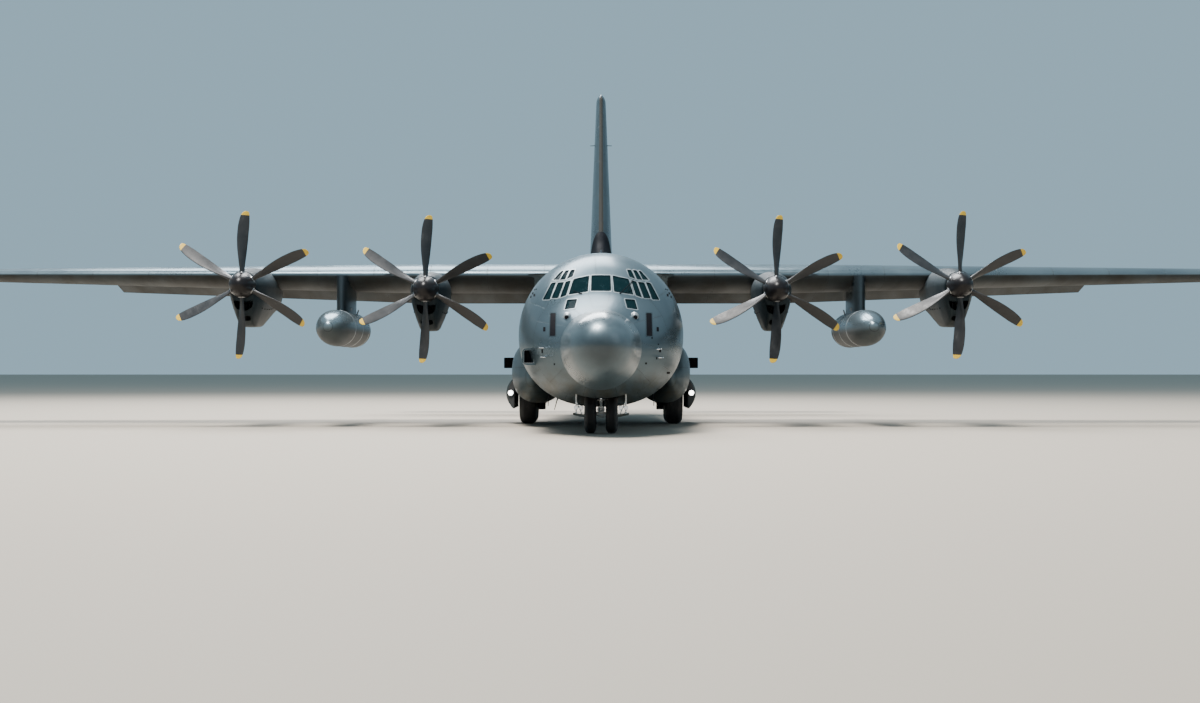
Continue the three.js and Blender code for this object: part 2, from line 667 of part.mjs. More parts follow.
function noseForkSolid() {
  const place = y(NOSE_AXLE);
  const piston = bar([0, place, NOSE_RADIUS], [0, place, 1560], PISTON_RADIUS, PIN_SIDES);
  const bearing = bar([-88, place, NOSE_RADIUS], [88, place, NOSE_RADIUS], 100, 18);
  const link = block([-45, place - 150, 560], [45, place - 60, 860]);
  const bore = bar([-200, place, NOSE_RADIUS], [200, place, NOSE_RADIUS], NOSE_AXLE_RADIUS + PIN_SLACK, PIN_SIDES);
  return union(piston, bearing, link).subtract(bore);
}

function noseWheelsSolid() {
  const axle = turnedAlongX([[0, -400], [NOSE_AXLE_RADIUS, -400], [NOSE_AXLE_RADIUS, 400], [0, 400]], PIN_SIDES);
  const wheel = wheelSolid(NOSE_RADIUS, NOSE_TYRE_HALF_WIDTH, 205, NOSE_AXLE_RADIUS - 4);
  return union(
    axle,
    wheel.translate([NOSE_WHEEL_ACROSS, 0, 0]),
    wheel.translate([-NOSE_WHEEL_ACROSS, 0, 0]),
  );
}

// A nose gear door: a splayed panel on two arms that reach up to the well's edge.
const NOSE_DOOR = { from: 2400, to: 3000, armWidth: 40 };
const NOSE_DOOR_OUTLINE = [[385, 470], [420, 440], [690, 500], [680, 580], [640, 590], [400, 520]];
function noseDoorSolid() {
  const { from, to, armWidth } = NOSE_DOOR;
  const panel = prism(NOSE_DOOR_OUTLINE, 'Y', y(from), y(to));
  const armOutline = [[600, 540], [NOSE_WELL.halfWidth - SEAT, 540], [NOSE_WELL.halfWidth - SEAT, 1060], [600, 1060]];
  const arms = [from + 60, to - 100].map((station) => prism(armOutline, 'Y', y(station), y(station) + armWidth));
  return union(panel, ...arms);
}

// The nose section: windows, wheel well, crew doorway and a scoop on the right side
// Front panes are [X, Z] outlines, cut along Y; side panes are [station, Z] outlines, cut along X.
const FRONT_PANES = [
  [[-265, 3535], [265, 3535], [250, 3920], [-250, 3920]],
  [[300, 3535], [815, 3440], [740, 3850], [285, 3920]],
  [[-300, 3535], [-815, 3440], [-740, 3850], [-285, 3920]],
];
const SIDE_PANES = [
  [[2760, 3420], [2990, 3400], [3020, 3760], [2860, 3760]],
  [[3030, 3395], [3280, 3385], [3310, 3765], [3060, 3760]],
  [[3320, 3385], [3570, 3385], [3570, 3760], [3350, 3765]],
  [[3080, 3850], [3290, 3850], [3290, 4040], [3160, 4040]],
  [[3330, 3850], [3560, 3850], [3560, 4080], [3330, 4060]],
  [[1990, 3100], [2230, 3100], [2250, 3290], [2080, 3290]],
];
const CREW_DOOR = { from: 4500, to: 5280, bottom: 1090, top: 2860 };
const CREW_HINGE = { level: 1098, depth: 2, radius: 14, lug: 28, swing: 44 };
const SCOOP = { from: 2900, to: 3750, inner: 1500, outer: 1960, bottom: 1720, top: 2150 };
const SCOOP_MOUTH = { to: 3200, inner: 1760, outer: 1925, bottom: 1765, top: 2105 };

// A block in side view, inset all round, that cuts a door or its doorway through one side wall.
const sideOpening = ({ from, to, bottom, top }, inset, inner, outer) => block(
  [inner, y(from + inset), bottom + inset],
  [outer, y(to - inset), top - inset],
);

// The crew door's hinge line runs along the skin at the foot of the doorway.
function crewHingeAt(station) {
  const { from, to } = CREW_DOOR;
  const [front, back] = [from, to].map((end) => [
    skinAcross(end, CREW_HINGE.level) - CREW_HINGE.depth,
    y(end),
    CREW_HINGE.level,
  ]);
  return mixPoints(front, back, (station - from) / (to - from));
}

// The crew door and its two hinges: a pin on the nose section at each end, in a lug on the door.
function buildCrewDoor() {
  const { from, to } = CREW_DOOR;
  const { level, radius, lug, swing } = CREW_HINGE;
  const pins = [];
  const rooms = [];
  let leaf = shell.intersect(sideOpening(CREW_DOOR, CLEAR, 900, 2400)).intersect(slab(from + swing, to));
  [[from, 1], [to, -1]].forEach(([end, inwards]) => {
    const at = (reach) => crewHingeAt(end + inwards * reach);
    const [across] = at(60);
    pins.push(bar(at(-60), at(110), radius, 12));
    rooms.push(block([across - 70, y(end), level - 60], [across + 200, y(end + inwards * 124), level + 60]));
    leaf = leaf.add(union(
      bar(at(50), at(100), lug, 12),
      block([across - 40, y(end + inwards * 52), level], [across + 10, y(end + inwards * 98), level + 80]),
    )).subtract(bar(at(-20), at(124), radius + PIN_SLACK, 12));
  });
  return { leaf, pins: union(...pins), rooms: union(...rooms) };
}

function buildNose() {
  const { halfWidth, from, to, top, wall } = NOSE_WELL;
  const wellBox = block([-halfWidth - wall, y(from - wall), 0], [halfWidth + wall, y(to + wall), top + wall]);
  const wellRoom = block([-halfWidth, y(from), -100], [halfWidth, y(to), top]);
  const windows = FRONT_PANES.map((outline) => prism(outline, 'Y', y(1900), y(3500)));
  SIDE_PANES.forEach((outline) => {
    const drawn = outline.map(([station, level]) => [y(station), level]);
    windows.push(prism(drawn, 'X', 500, 2300), prism(drawn, 'X', -2300, -500));
  });
  const scoop = block([-SCOOP.outer, y(SCOOP.from), SCOOP.bottom], [-SCOOP.inner, y(SCOOP.to), SCOOP.top])
    .subtract(innerHull);
  const mouth = block(
    [-SCOOP_MOUTH.outer, y(SCOOP.from - 10), SCOOP_MOUTH.bottom],
    [-SCOOP_MOUTH.inner, y(SCOOP_MOUTH.to), SCOOP_MOUTH.top],
  );
  const crew = buildCrewDoor();
  const doorway = sideOpening(CREW_DOOR, 0, 900, 2400);
  const nose = shell.intersect(slab(RADOME_END, NOSE_END))
    .add(wellBox.intersect(outerHull))
    .add(scoop)
    .subtract(union(wellRoom, doorway, mouth, crew.rooms, ...windows))
    .add(crew.pins);
  return { nose, door: crew.leaf };
}

function radomeSolid() {
  const inside = hull(60, 200, RADOME_END);
  return outerHull.intersect(slab(0, RADOME_END - SEAT)).subtract(inside);
}

function glazingSolid() {
  const band = hull(WALL + SEAT, 1800, 6400).subtract(hull(WALL + SEAT + 34, 1800, 6400));
  const upper = band.intersect(block([-2300, y(2000), 3320], [2300, y(3650), 4130]));
  const lower = band.intersect(block([-2300, y(2100), 3000], [2300, y(2560), 3330]));
  return upper.add(lower);
}

// The flight deck's floor carries both pilots' seats and the pedestal between them.
function flightDeckSolid() {
  const floor = innerFit.intersect(block([-2300, y(1900), DECK_TOP - 90], [2300, y(4380), DECK_TOP]));
  const parts = [floor, block([-170, y(2900), DECK_TOP - 10], [170, y(3700), DECK_TOP + 560])];
  [-1, 1].forEach((side) => {
    const across = side * 620;
    parts.push(
      block([across - 90, y(3450), DECK_TOP - 10], [across + 90, y(3800), DECK_TOP + 380]),
      block([across - 240, y(3350), DECK_TOP + 370], [across + 240, y(3880), DECK_TOP + 500]),
      block([across - 230, y(3780), DECK_TOP + 490], [across + 230, y(3900), DECK_TOP + 1180]),
    );
  });
  return union(...parts);
}

function instrumentPanelSolid() {
  const face = block([-850, y(2780), DECK_TOP + SEAT], [850, y(2880), DECK_TOP + 1080]);
  const shade = block([-900, y(2700), DECK_TOP + 1070], [900, y(2960), DECK_TOP + 1120]);
  return face.add(shade);
}

// The hold: side walls with wheel wells and paratroop doors, and a floor that fills the belly
const TROOP_DOOR = { from: 16560, to: 17480, bottom: 1060, top: 2900 };

function buildHold() {
  const lining = block([WELL.inner - 60, y(WELL.from - 100), 650], [2300, y(WELL.to + 100), WELL.top + 100])
    .intersect(outerHull);
  const well = block([WELL.inner, y(WELL.from), -100], [2400, y(WELL.to), WELL.top]);
  const doorway = sideOpening(TROOP_DOOR, 0, 1200, 2400);
  const cuts = union(well, doorway);
  const walls = shell.intersect(slab(NOSE_END + SEAT, RAMP_HINGE - SEAT));
  return {
    walls: walls.add(union(lining, lining.mirror([1, 0, 0])))
      .subtract(union(grownCentreWing, cuts, cuts.mirror([1, 0, 0]))),
    troopDoor: shell.intersect(sideOpening(TROOP_DOOR, SEAT, 1200, 2400)),
  };
}

// The ramp's front edge is rounded about its hinge line, which runs through two lugs on the floor.
const RAMP_HALF_WIDTH = 1520;
const RAMP_TOP_END = 1960;
const RAMP_SLOPE = 155; // how far the ramp's aft face leans forward, so that the door swings past it
const RAMP_NOSE = 140;
const RAMP_AXIS = { station: RAMP_HINGE + 30 + RAMP_NOSE, level: 760 };
const RAMP_LUG = { across: 600, halfWidth: 50, radius: 80, pin: 28, neck: [812, 912] };

function floorSolid() {
  const { across, halfWidth, radius, pin, neck } = RAMP_LUG;
  const { station, level } = RAMP_AXIS;
  const floor = innerFit.intersect(
    block([-1480, y(NOSE_WELL.to + 80), 0], [1480, y(RAMP_HINGE - 30), FLOOR_TOP]),
  );
  const lugs = [-across, across].map((middle) => {
    const eye = bar([middle - halfWidth, y(station), level], [middle + halfWidth, y(station), level], radius, PIN_SIDES);
    const arm = block(
      [middle - halfWidth, y(RAMP_HINGE - 60), neck[0]],
      [middle + halfWidth, y(station), neck[1]],
    );
    return eye.add(arm);
  });
  const hole = bar([-1000, y(station), level], [1000, y(station), level], pin + PIN_SLACK, PIN_SIDES);
  return union(floor, ...lugs).subtract(hole);
}

function rampSolid() {
  const { station, level } = RAMP_AXIS;
  const { across, halfWidth, radius, pin } = RAMP_LUG;
  const nose = [270, 247, 225, 202, 180].map((angle) => [
    y(station) + RAMP_NOSE * Math.cos(radians(angle)),
    level + RAMP_NOSE * Math.sin(radians(angle)),
  ]);
  const side = prism([
    [y(station), 0],
    ...nose,
    [y(station) - RAMP_NOSE, FLOOR_TOP],
    [y(RAMP_END - CLEAR - RAMP_SLOPE), RAMP_TOP_END],
    [y(RAMP_END - CLEAR), 1640],
    [y(RAMP_END - CLEAR), 0],
  ], 'X', -RAMP_HALF_WIDTH + CLEAR, RAMP_HALF_WIDTH - CLEAR);
  const slots = [-across, across].map((middle) => block(
    [middle - halfWidth - CLEAR, y(RAMP_HINGE), 0],
    [middle + halfWidth + CLEAR, y(station + radius + CLEAR), 1200],
  ));
  const pins = [-across, across].map((middle) => bar(
    [middle - halfWidth - 60, y(station), level],
    [middle + halfWidth + 60, y(station), level],
    pin,
    PIN_SIDES,
  ));
  return outerHull.intersect(side).subtract(union(...slots)).add(union(...pins));
}

// The door behind the ramp swings up into the tail about a hinge at its aft end.
const TAIL_DOOR_FRONT = 1484; // half widths of the doorway at its two ends
const TAIL_DOOR_BACK = 1000;
const TAIL_DOOR_AXIS = { station: 24490, level: 3140 };
const TAIL_DOOR_PIN = { root: 1090, tip: 890, radius: 22 };
const TAIL_DOOR_LUG = { inner: 860, outer: 985, halfLength: 50, bottom: 3075, top: 3195 };

// A plan outline that narrows aft, as a tall prism, inset all round.
const rampPlan = (inset) => prism([
  [RAMP_HALF_WIDTH - inset, y(RAMP_HINGE + inset)],
  [RAMP_HALF_WIDTH - inset, y(RAMP_END - inset)],
  [inset - RAMP_HALF_WIDTH, y(RAMP_END - inset)],
  [inset - RAMP_HALF_WIDTH, y(RAMP_HINGE + inset)],
], 'Z', -100, 4000);
const tailDoorPlan = (inset) => prism([
  [TAIL_DOOR_FRONT - inset, y(RAMP_END + inset)],
  [TAIL_DOOR_BACK - inset, y(TAIL_DOOR_END - inset)],
  [inset - TAIL_DOOR_BACK, y(TAIL_DOOR_END - inset)],
  [inset - TAIL_DOOR_FRONT, y(RAMP_END + inset)],
], 'Z', -100, 4000);
const belowRoof = prism([
  [y(RAMP_HINGE - 100), 0],
  [y(TAIL_DOOR_END + 100), 0],
  [y(TAIL_DOOR_END + 100), 3560],
  [y(RAMP_END), 2330],
  [y(RAMP_HINGE - 100), 1450],
], 'X', -2000, 2000);

function buildTailEnd(grownStabilizer) {
  const { station, level } = TAIL_DOOR_AXIS;
  const { root, tip, radius } = TAIL_DOOR_PIN;
  const { inner, outer, halfLength, bottom, top } = TAIL_DOOR_LUG;
  const opening = union(rampPlan(0), tailDoorPlan(0)).intersect(belowRoof);
  let tube = shell.intersect(slab(RAMP_HINGE, LENGTH + 10)).subtract(opening).subtract(grownStabilizer);
  let door = shell.intersect(tailDoorPlan(CLEAR)).intersect(belowRoof)
    .intersect(slab(RAMP_END, TAIL_DOOR_END - 46));
  [-1, 1].forEach((side) => {
    const at = (across) => [side * across, y(station), level];
    tube = tube.add(bar(at(root), at(tip), radius, PIN_SIDES));
    door = door.add(block(
      [side * inner, y(station - halfLength), bottom],
      [side * outer, y(station + halfLength), top],
    )).subtract(bar(at(root), at(tip - CLEAR), radius + PIN_SLACK, PIN_SIDES));
  });
  return { tube, door };
}

// Assembly
const aeroplane = new THREE.Group();
aeroplane.name = 'transport_plane';
aeroplane.scale.setScalar(MODEL_SCALE);

const place = (name, shape, material) => aeroplane.add(piece(name, shape, material));

// Adds a piece made for the left side, and its mirror image on the right.
function placePair(stem, shape, material) {
  place(`${stem}_left`, shape, material);
  place(`${stem}_right`, shape.mirror([1, 0, 0]), material);
}

const wing = buildWing();
const tail = buildTail();
const nose = buildNose();
const hold = buildHold();
const tailEnd = buildTailEnd(tail.grownStabilizer);

place('radome', radomeSolid(), paint);
place('nose_section', nose.nose, paint);
place('cockpit_glazing', glazingSolid(), glass);
place('flight_deck', flightDeckSolid(), lining);
place('instrument_panel', instrumentPanelSolid(), blackPaint);
place('crew_door', nose.door, paint);
place('center_fuselage', hold.walls, paint);
place('cargo_floor', floorSolid(), metal);
placePair('paratroop_door', hold.troopDoor, paint);
place('aft_fuselage', tailEnd.tube, paint);
place('cargo_ramp', rampSolid(), paint);
place('aft_cargo_door', tailEnd.door, paint);
placePair('sponson', sponsonSolid(), paint);

place('center_wing', wing.centre, paint);
placePair('outer_wing', wing.outer, paint);
placePair('inner_flap', wing.innerFlap, paint);
placePair('outer_flap', wing.outerFlap, paint);
placePair('aileron', wing.aileron, paint);

place('vertical_fin', tail.fin, paint);
place('dorsal_fin', tail.dorsal, blackPaint);
place('rudder', tail.rudder, paint);
place('horizontal_stabilizer', tail.stabilizer, paint);
placePair('elevator', tail.elevator, paint);

// Engines are numbered from the left wing's outer one to the right wing's outer one.
const ENGINES = [
  { number: 1, across: 9985, shaft: 3970 },
  { number: 2, across: 4880, shaft: 3857 },
  { number: 3, across: -4880, shaft: 3857 },
  { number: 4, across: -9985, shaft: 3970 },
];
const nacelle = nacelleBody();
const engine = engineBlock();
const propeller = propellerSolid();
const bothOuterWings = grownOuterWing.add(grownOuterWing.mirror([1, 0, 0]));
ENGINES.forEach(({ number, across, shaft }) => {
  const at = [across, y(PROP_STATION), shaft];
  const housing = nacelle.translate(at).subtract(grownCentreWing).subtract(bothOuterWings);
  place(`nacelle_${number}`, housing, darkPaint);
  place(`engine_${number}`, engine.translate(at), metal);
  place(`propeller_${number}`, propeller.translate(at), blackPaint);
});

placePair('drop_tank', tankSolid(0), paint);
placePair('tank_pylon', pylonSolid().subtract(grownOuterWing).subtract(tankSolid(SEAT)), paint);

place('nose_gear_leg', noseLegSolid(), metal);
place('nose_gear_fork', noseForkSolid(), metal);
place('nose_wheels', noseWheelsSolid().translate([0, y(NOSE_AXLE), NOSE_RADIUS]), tyre);
placePair('nose_gear_door', noseDoorSolid(), darkPaint);
placePair('main_gear_leg', mainLegSolid(), metal);
placePair('main_gear_door', mainDoorSolid(), paint);
const mainWheel = wheelSolid(MAIN_RADIUS, MAIN_HALF_WIDTH, 300, MAIN_AXLE_RADIUS + PIN_SLACK);
['front', 'aft'].forEach((row, k) => {
  const shape = mainWheel.translate([MAIN_TRACK / 2, y(MAIN_AXLES[k]), MAIN_RADIUS]);
  placePair(`main_wheel_${row}`, shape, tyre);
});

export default aeroplane;
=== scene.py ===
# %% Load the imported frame
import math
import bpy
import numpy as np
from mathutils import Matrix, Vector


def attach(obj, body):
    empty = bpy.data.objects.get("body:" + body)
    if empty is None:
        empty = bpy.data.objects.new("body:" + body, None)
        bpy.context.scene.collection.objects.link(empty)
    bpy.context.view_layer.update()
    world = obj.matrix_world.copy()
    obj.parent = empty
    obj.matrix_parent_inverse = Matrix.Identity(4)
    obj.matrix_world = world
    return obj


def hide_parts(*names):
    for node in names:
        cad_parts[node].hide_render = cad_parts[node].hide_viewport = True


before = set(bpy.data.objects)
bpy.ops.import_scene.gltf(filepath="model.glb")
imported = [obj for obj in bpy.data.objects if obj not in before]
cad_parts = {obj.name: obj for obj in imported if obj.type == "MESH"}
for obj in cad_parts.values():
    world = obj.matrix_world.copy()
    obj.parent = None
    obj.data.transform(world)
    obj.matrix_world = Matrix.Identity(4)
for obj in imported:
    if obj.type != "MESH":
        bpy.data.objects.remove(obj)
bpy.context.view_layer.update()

# %% [markdown]
# A military transport plane, modelled at half size. The loaded solids are exact in size but plain,
# with flat facets. Here every surface gets the smooth skin, the seams, the paint and the small
# fittings of the real machine.

# %% [markdown]
# Every table below gives the real aeroplane's sizes in millimetres, because that is how its drawings
# are read. A station is the distance aft of the nose tip. One function turns a real place into
# the model's metres, so the half scale is written down only once.

# %% From real millimetres to the model's metres
MODEL_SCALE = 0.5
LENGTH = 29790
UNIT = MODEL_SCALE / 1000
MIDDLE = LENGTH / 2


def spot(across, station, level):
    """A place on the aeroplane, in the model's metres."""
    return np.stack(np.broadcast_arrays(
        np.asarray(across, float) * UNIT,
        (np.asarray(station, float) - MIDDLE) * UNIT,
        np.asarray(level, float) * UNIT,
    ), axis=-1)


# %% [markdown]
# The camera stands on the runway's centre line, far ahead of the nose and low, with a long lens.
# Hubs, tanks and wheels lie at known distances from one another, so their spacing in a picture
# gives the camera's distance, and the horizon gives its height.

# %% Camera
CAMERA_AHEAD = 45230
CAMERA_LEVEL = 1600
FOCAL_PIXELS = 1937
PICTURE_WIDTH = 1200
SENSOR_WIDTH = 36
TILT_UP = 0.549
AIM_LEFT = 0.03

bpy.ops.object.select_all(action="DESELECT")
bpy.ops.object.camera_add(
    location=spot(0, -CAMERA_AHEAD, CAMERA_LEVEL),
    rotation=(math.radians(90 + TILT_UP), 0, math.radians(AIM_LEFT)),
)
camera = bpy.context.object
camera.data.sensor_width = SENSOR_WIDTH
camera.data.lens = FOCAL_PIXELS / PICTURE_WIDTH * SENSOR_WIDTH
camera.data.clip_end = 1000
bpy.context.scene.camera = camera
print("lens", round(camera.data.lens, 2), "mm")

# %% [markdown]
# Paint that looks real changes a little from place to place. Shader nodes do that with arithmetic,
# which is easier to read as ordinary sums. A Field stands for a number that varies over the
# surface, and adding or multiplying fields adds the Math nodes behind the scenes.


# %% A field and the board it is drawn on
class Field:
    """A number or colour that changes over a surface."""

    def __init__(self, board, socket):
        self.board = board
        self.socket = socket

    def math(self, operation, *others):
        return self.board.add("ShaderNodeMath", {"operation": operation}, [self, *others])

    def turned_math(self, operation, other):
        return self.board.add("ShaderNodeMath", {"operation": operation}, [other, self])

    def __add__(self, other):
        return self.math("ADD", other)

    def __sub__(self, other):
        return self.math("SUBTRACT", other)

    def __mul__(self, other):
        return self.math("MULTIPLY", other)

    def __truediv__(self, other):
        return self.math("DIVIDE", other)

    def __radd__(self, other):
        return self.turned_math("ADD", other)

    def __rsub__(self, other):
        return self.turned_math("SUBTRACT", other)

    def __rmul__(self, other):
        return self.turned_math("MULTIPLY", other)

    def __abs__(self):
        return self.math("ABSOLUTE")

    def to_nearest(self, spacing):
        """The distance to the nearest multiple of a spacing."""
        return self.math("PINGPONG", spacing / 2)

    def fade(self, start, end, first=0.0, last=1.0):
        """Goes smoothly from the first to the last value as the field goes from start to end."""
        settings = {"interpolation_type": "SMOOTHSTEP"}
        return self.board.add("ShaderNodeMapRange", settings, {
            "Value": self, "From Min": start, "From Max": end, "To Min": first, "To Max": last,
        })


class Board:
    """A material and the nodes on it."""

    def __init__(self, name):
        self.material = bpy.data.materials.new(name)
        self.material.use_nodes = True
        self.tree = self.material.node_tree
        self.tree.nodes.clear()

    def add(self, kind, settings=None, values=None, out=0):
        node = self.tree.nodes.new(kind)
        for key, setting in (settings or {}).items():
            setattr(node, key, setting)
        pairs = values.items() if isinstance(values, dict) else enumerate(values or [])
        for key, value in pairs:
            if isinstance(value, Field):
                self.tree.links.new(value.socket, node.inputs[key])
            else:
                node.inputs[key].default_value = value
        return Field(self, node.outputs[out])

    def place(self):
        """Object coordinates, whole and as three fields."""
        whole = self.add("ShaderNodeTexCoord", out=3)
        parts = [self.add("ShaderNodeSeparateXYZ", None, [whole], out) for out in range(3)]
        return [whole, *parts]

    def noise(self, scale, stretch=(1, 1, 1), detail=4.0, roughness=0.55):
        """Soft noise from 0 to 1, drawn out along an axis by a stretch above 1."""
        whole = self.add("ShaderNodeTexCoord", out=3)
        settings = {"vector_type": "POINT"}
        shrink = [1 / s for s in stretch]
        mapped = self.add("ShaderNodeMapping", settings, {"Vector": whole, "Scale": shrink})
        return self.add("ShaderNodeTexNoise", None, {
            "Vector": mapped, "Scale": scale, "Detail": detail, "Roughness": roughness,
        })

    def mix(self, first, second, share):
        """A colour between two colours."""
        colours = [c if isinstance(c, Field) else (*c, 1) for c in (first, second)]
        settings = {"data_type": "RGBA", "clamp_factor": True}
        return self.add("ShaderNodeMix", settings, {0: share, 6: colours[0], 7: colours[1]}, out=2)

    def shine(self, constants, fields, heights=()):
        """The surface itself. Each height is a field in metres with the strength of its bump."""
        normal = None
        for height, strength in heights:
            values = {"Height": height, "Strength": strength, "Distance": 1.0}
            if normal:
                values["Normal"] = normal
            normal = self.add("ShaderNodeBump", None, values)
        values = {**constants, **fields}
        if normal:
            values["Normal"] = normal
        surface = self.add("ShaderNodeBsdfPrincipled", None, values)
        output = self.tree.nodes.new("ShaderNodeOutputMaterial")
        self.tree.links.new(surface.socket, output.inputs["Surface"])
        return self.material


# %% [markdown]
# The airframe's paint is a satin grey over riveted sheets. Each sheet is a shade lighter or darker
# than its neighbour, with a fine dark groove between them and a row of rivets along each side.
# Rain and oil draw faint streaks along the airflow. A pattern function gives each kind of surface
# its own grid of seams: round a tube, along a wing, or up a fin.

# %% Seams, rivets and sheets
GROOVE = 0.0035
RIVET_SPACING = 0.022
RIVET_OFFSET = 0.012
RIVET_SIZE = 0.0022


def seams_between(board, along, across, spacing, across_spacing, offset_seed=0.0):
    """Seams on a brick pattern: whole lines across, and short ones that shift from bay to bay.

    Both coordinates are fields in metres. Returns the distance to the nearest seam, a random
    number for each sheet, and the distance to the nearest rivet's middle.
    """
    bay = (along * (1 / spacing)).math("FLOOR")
    shift = board.add("ShaderNodeTexWhiteNoise", {"noise_dimensions": "1D"}, {"W": bay + offset_seed})
    moved = across + shift * across_spacing
    to_frame = along.to_nearest(spacing)
    to_stringer = moved.to_nearest(across_spacing)
    nearest = to_frame.math("MINIMUM", to_stringer)
    sheet = bay * 17.3 + (moved * (1 / across_spacing)).math("FLOOR") * 5.9
    tone = board.add("ShaderNodeTexWhiteNoise", {"noise_dimensions": "1D"}, {"W": sheet})
    beside_frame = abs(to_frame - RIVET_OFFSET)
    beside_stringer = abs(to_stringer - RIVET_OFFSET)
    rivet_on_frame = beside_frame.math("POWER", 2.0) + across.to_nearest(RIVET_SPACING).math("POWER", 2.0)
    rivet_on_stringer = beside_stringer.math("POWER", 2.0) + along.to_nearest(RIVET_SPACING).math("POWER", 2.0)
    rivet = rivet_on_frame.math("MINIMUM", rivet_on_stringer).math("SQRT")
    return nearest, tone, rivet


TUBE_CENTRE = 1.25
TUBE_RADIUS = 1.05


def tube_seams(board, spacing=0.762, across_spacing=0.56):
    """Seams round the fuselage, by station and by the angle about its middle."""
    _, x, y, z = board.place()
    angle = (z - TUBE_CENTRE).math("ARCTAN2", x)
    return seams_between(board, y, angle * TUBE_RADIUS, spacing, across_spacing)


def wing_seams(board, spacing=0.83, across_spacing=0.47):
    """Seams along a wing or a stabilizer: ribs run fore and aft, spars run out along the span."""
    _, x, y, _ = board.place()
    return seams_between(board, abs(x), y, spacing, across_spacing)


def fin_seams(board, spacing=0.66, across_spacing=0.5):
    """Seams on the fin and rudder: ribs lie level, spars stand up."""
    _, _, y, z = board.place()
    return seams_between(board, z, y, spacing, across_spacing)


# %% Satin aircraft paint
SKIN_GREY = (0.084, 0.118, 0.138)
# Brown soiling colour; low on the airframe it also stands for a painted reflection of the ground.
BROWN_DIRT_AND_REFLECTION = (0.062, 0.054, 0.035)
# Painted shade for dull undersides, and the colour of the fin's rubber boot.
PAINTED_SHADE_AND_BOOT = (0.026, 0.025, 0.022)
SEAM_DARK = (0.02, 0.023, 0.025)


def aircraft_paint(name, colour, seams, rough=0.3, metallic=0.62, belly=(0.5, 1.0), dirt_and_reflection=0.75, soot=None,
                   shade=None, coat=0.15):
    """Grey paint with sheets, seams, rivets, streaks along the airflow and a brown band low down,
    which is partly soiling and partly a painted reflection of the ground.

    The band fades out between the two heights of belly. Soot and shade are functions that return
    a field: where engines blacken the paint, and where the paint is dark and dull, which is painted
    shade on undersides and the rubber boot on the fin.
    """
    board = Board(name)
    nearest, tone, rivet = seams(board)
    _, _, _, z = board.place()
    cloud = board.noise(1.3, stretch=(1, 2.5, 1), detail=6)
    grain = board.noise(55, detail=3)
    streak = board.noise(7, stretch=(1, 9, 1), detail=5)
    groove = nearest.fade(GROOVE * 0.35, GROOVE, 1.0, 0.0)
    stain = nearest.fade(0.0, 0.03, 1.0, 0.0) * streak.fade(0.35, 0.75)
    light = tuple(min(1.0, c * 1.13) for c in colour)
    dark = tuple(c * 0.84 for c in colour)
    base = board.mix(dark, light, tone * 0.34 + cloud.fade(0.28, 0.72) * 0.66)
    # Darker and browner towards the bottom: partly soiling, partly a painted reflection of the ground.
    low = z.fade(belly[1], belly[0]) * streak.fade(0.3, 0.7, 0.25, 1.0)
    dirt_soot_and_ground_reflection = (low * dirt_and_reflection + stain * 0.16 + streak.fade(0.62, 0.85) * 0.08).math("MINIMUM", 1.0)
    if soot:
        dirt_soot_and_ground_reflection = (dirt_soot_and_ground_reflection + soot(board) * 0.85).math("MINIMUM", 1.0)
    base = board.mix(base, BROWN_DIRT_AND_REFLECTION, dirt_soot_and_ground_reflection)
    # Painted shade on undersides, and on the fin its rubber boot, from the shade function.
    shade_and_boot = shade(board) if shade else dirt_soot_and_ground_reflection * 0.0
    base = board.mix(base, PAINTED_SHADE_AND_BOOT, shade_and_boot)
    base = board.mix(base, SEAM_DARK, groove * 0.8)
    base = board.mix(base, tuple(c * 0.7 for c in colour), rivet.fade(RIVET_SIZE, RIVET_SIZE * 1.6, 0.45, 0.0))
    gloss = rough + cloud.fade(0.3, 0.7, -0.05, 0.07) + dirt_soot_and_ground_reflection * 0.2
    gloss = gloss + grain.fade(0.3, 0.7, 0.0, 0.04) + shade_and_boot * 0.4
    bright = (dirt_soot_and_ground_reflection * 0.6).math("MAXIMUM", shade_and_boot).fade(0.0, 1.0, 1.0, 0.0)
    dent = board.noise(2.2, detail=2)
    height = groove * -0.0016 + rivet.fade(RIVET_SIZE * 0.6, RIVET_SIZE * 1.3, 0.0004, 0.0)
    return board.shine(
        {"Specular IOR Level": 0.3, "Specular Tint": (0.4, 0.46, 0.5, 1), "Coat Roughness": 0.16},
        {"Base Color": base, "Roughness": gloss, "Metallic": bright * metallic, "Coat Weight": bright * coat},
        [(dent * 0.004, 0.35), (height, 0.8), (grain * 0.0002, 0.5)],
    )


hull_paint = aircraft_paint("satin_grey_hull", SKIN_GREY, tube_seams)


def fin_boot(board):
    """The rubber strip along the fin's leading edge, which slopes back as it rises."""
    _, _, y, z = board.place()
    return (y - (z - 2.28) * 0.453 - 4.18).fade(0.016, 0.013)


# A darker copy of the airframe's grey: painted shade on the fin and the stabilizer.
SHADED_TAIL_GREY = (0.05, 0.074, 0.088)
NO_BELLY = (-1, -0.5)
fin_paint = aircraft_paint("satin_grey_fin", SHADED_TAIL_GREY, fin_seams, metallic=0.4, belly=NO_BELLY, shade=fin_boot)
tail_paint = aircraft_paint("satin_grey_tail", SHADED_TAIL_GREY, wing_seams, metallic=0.4, belly=NO_BELLY)
print("paints ready")

# %% [markdown]
# The other finishes are simple relatives of the first. Worn edges, dust and fine scratches keep
# each of them from looking like plain plastic.


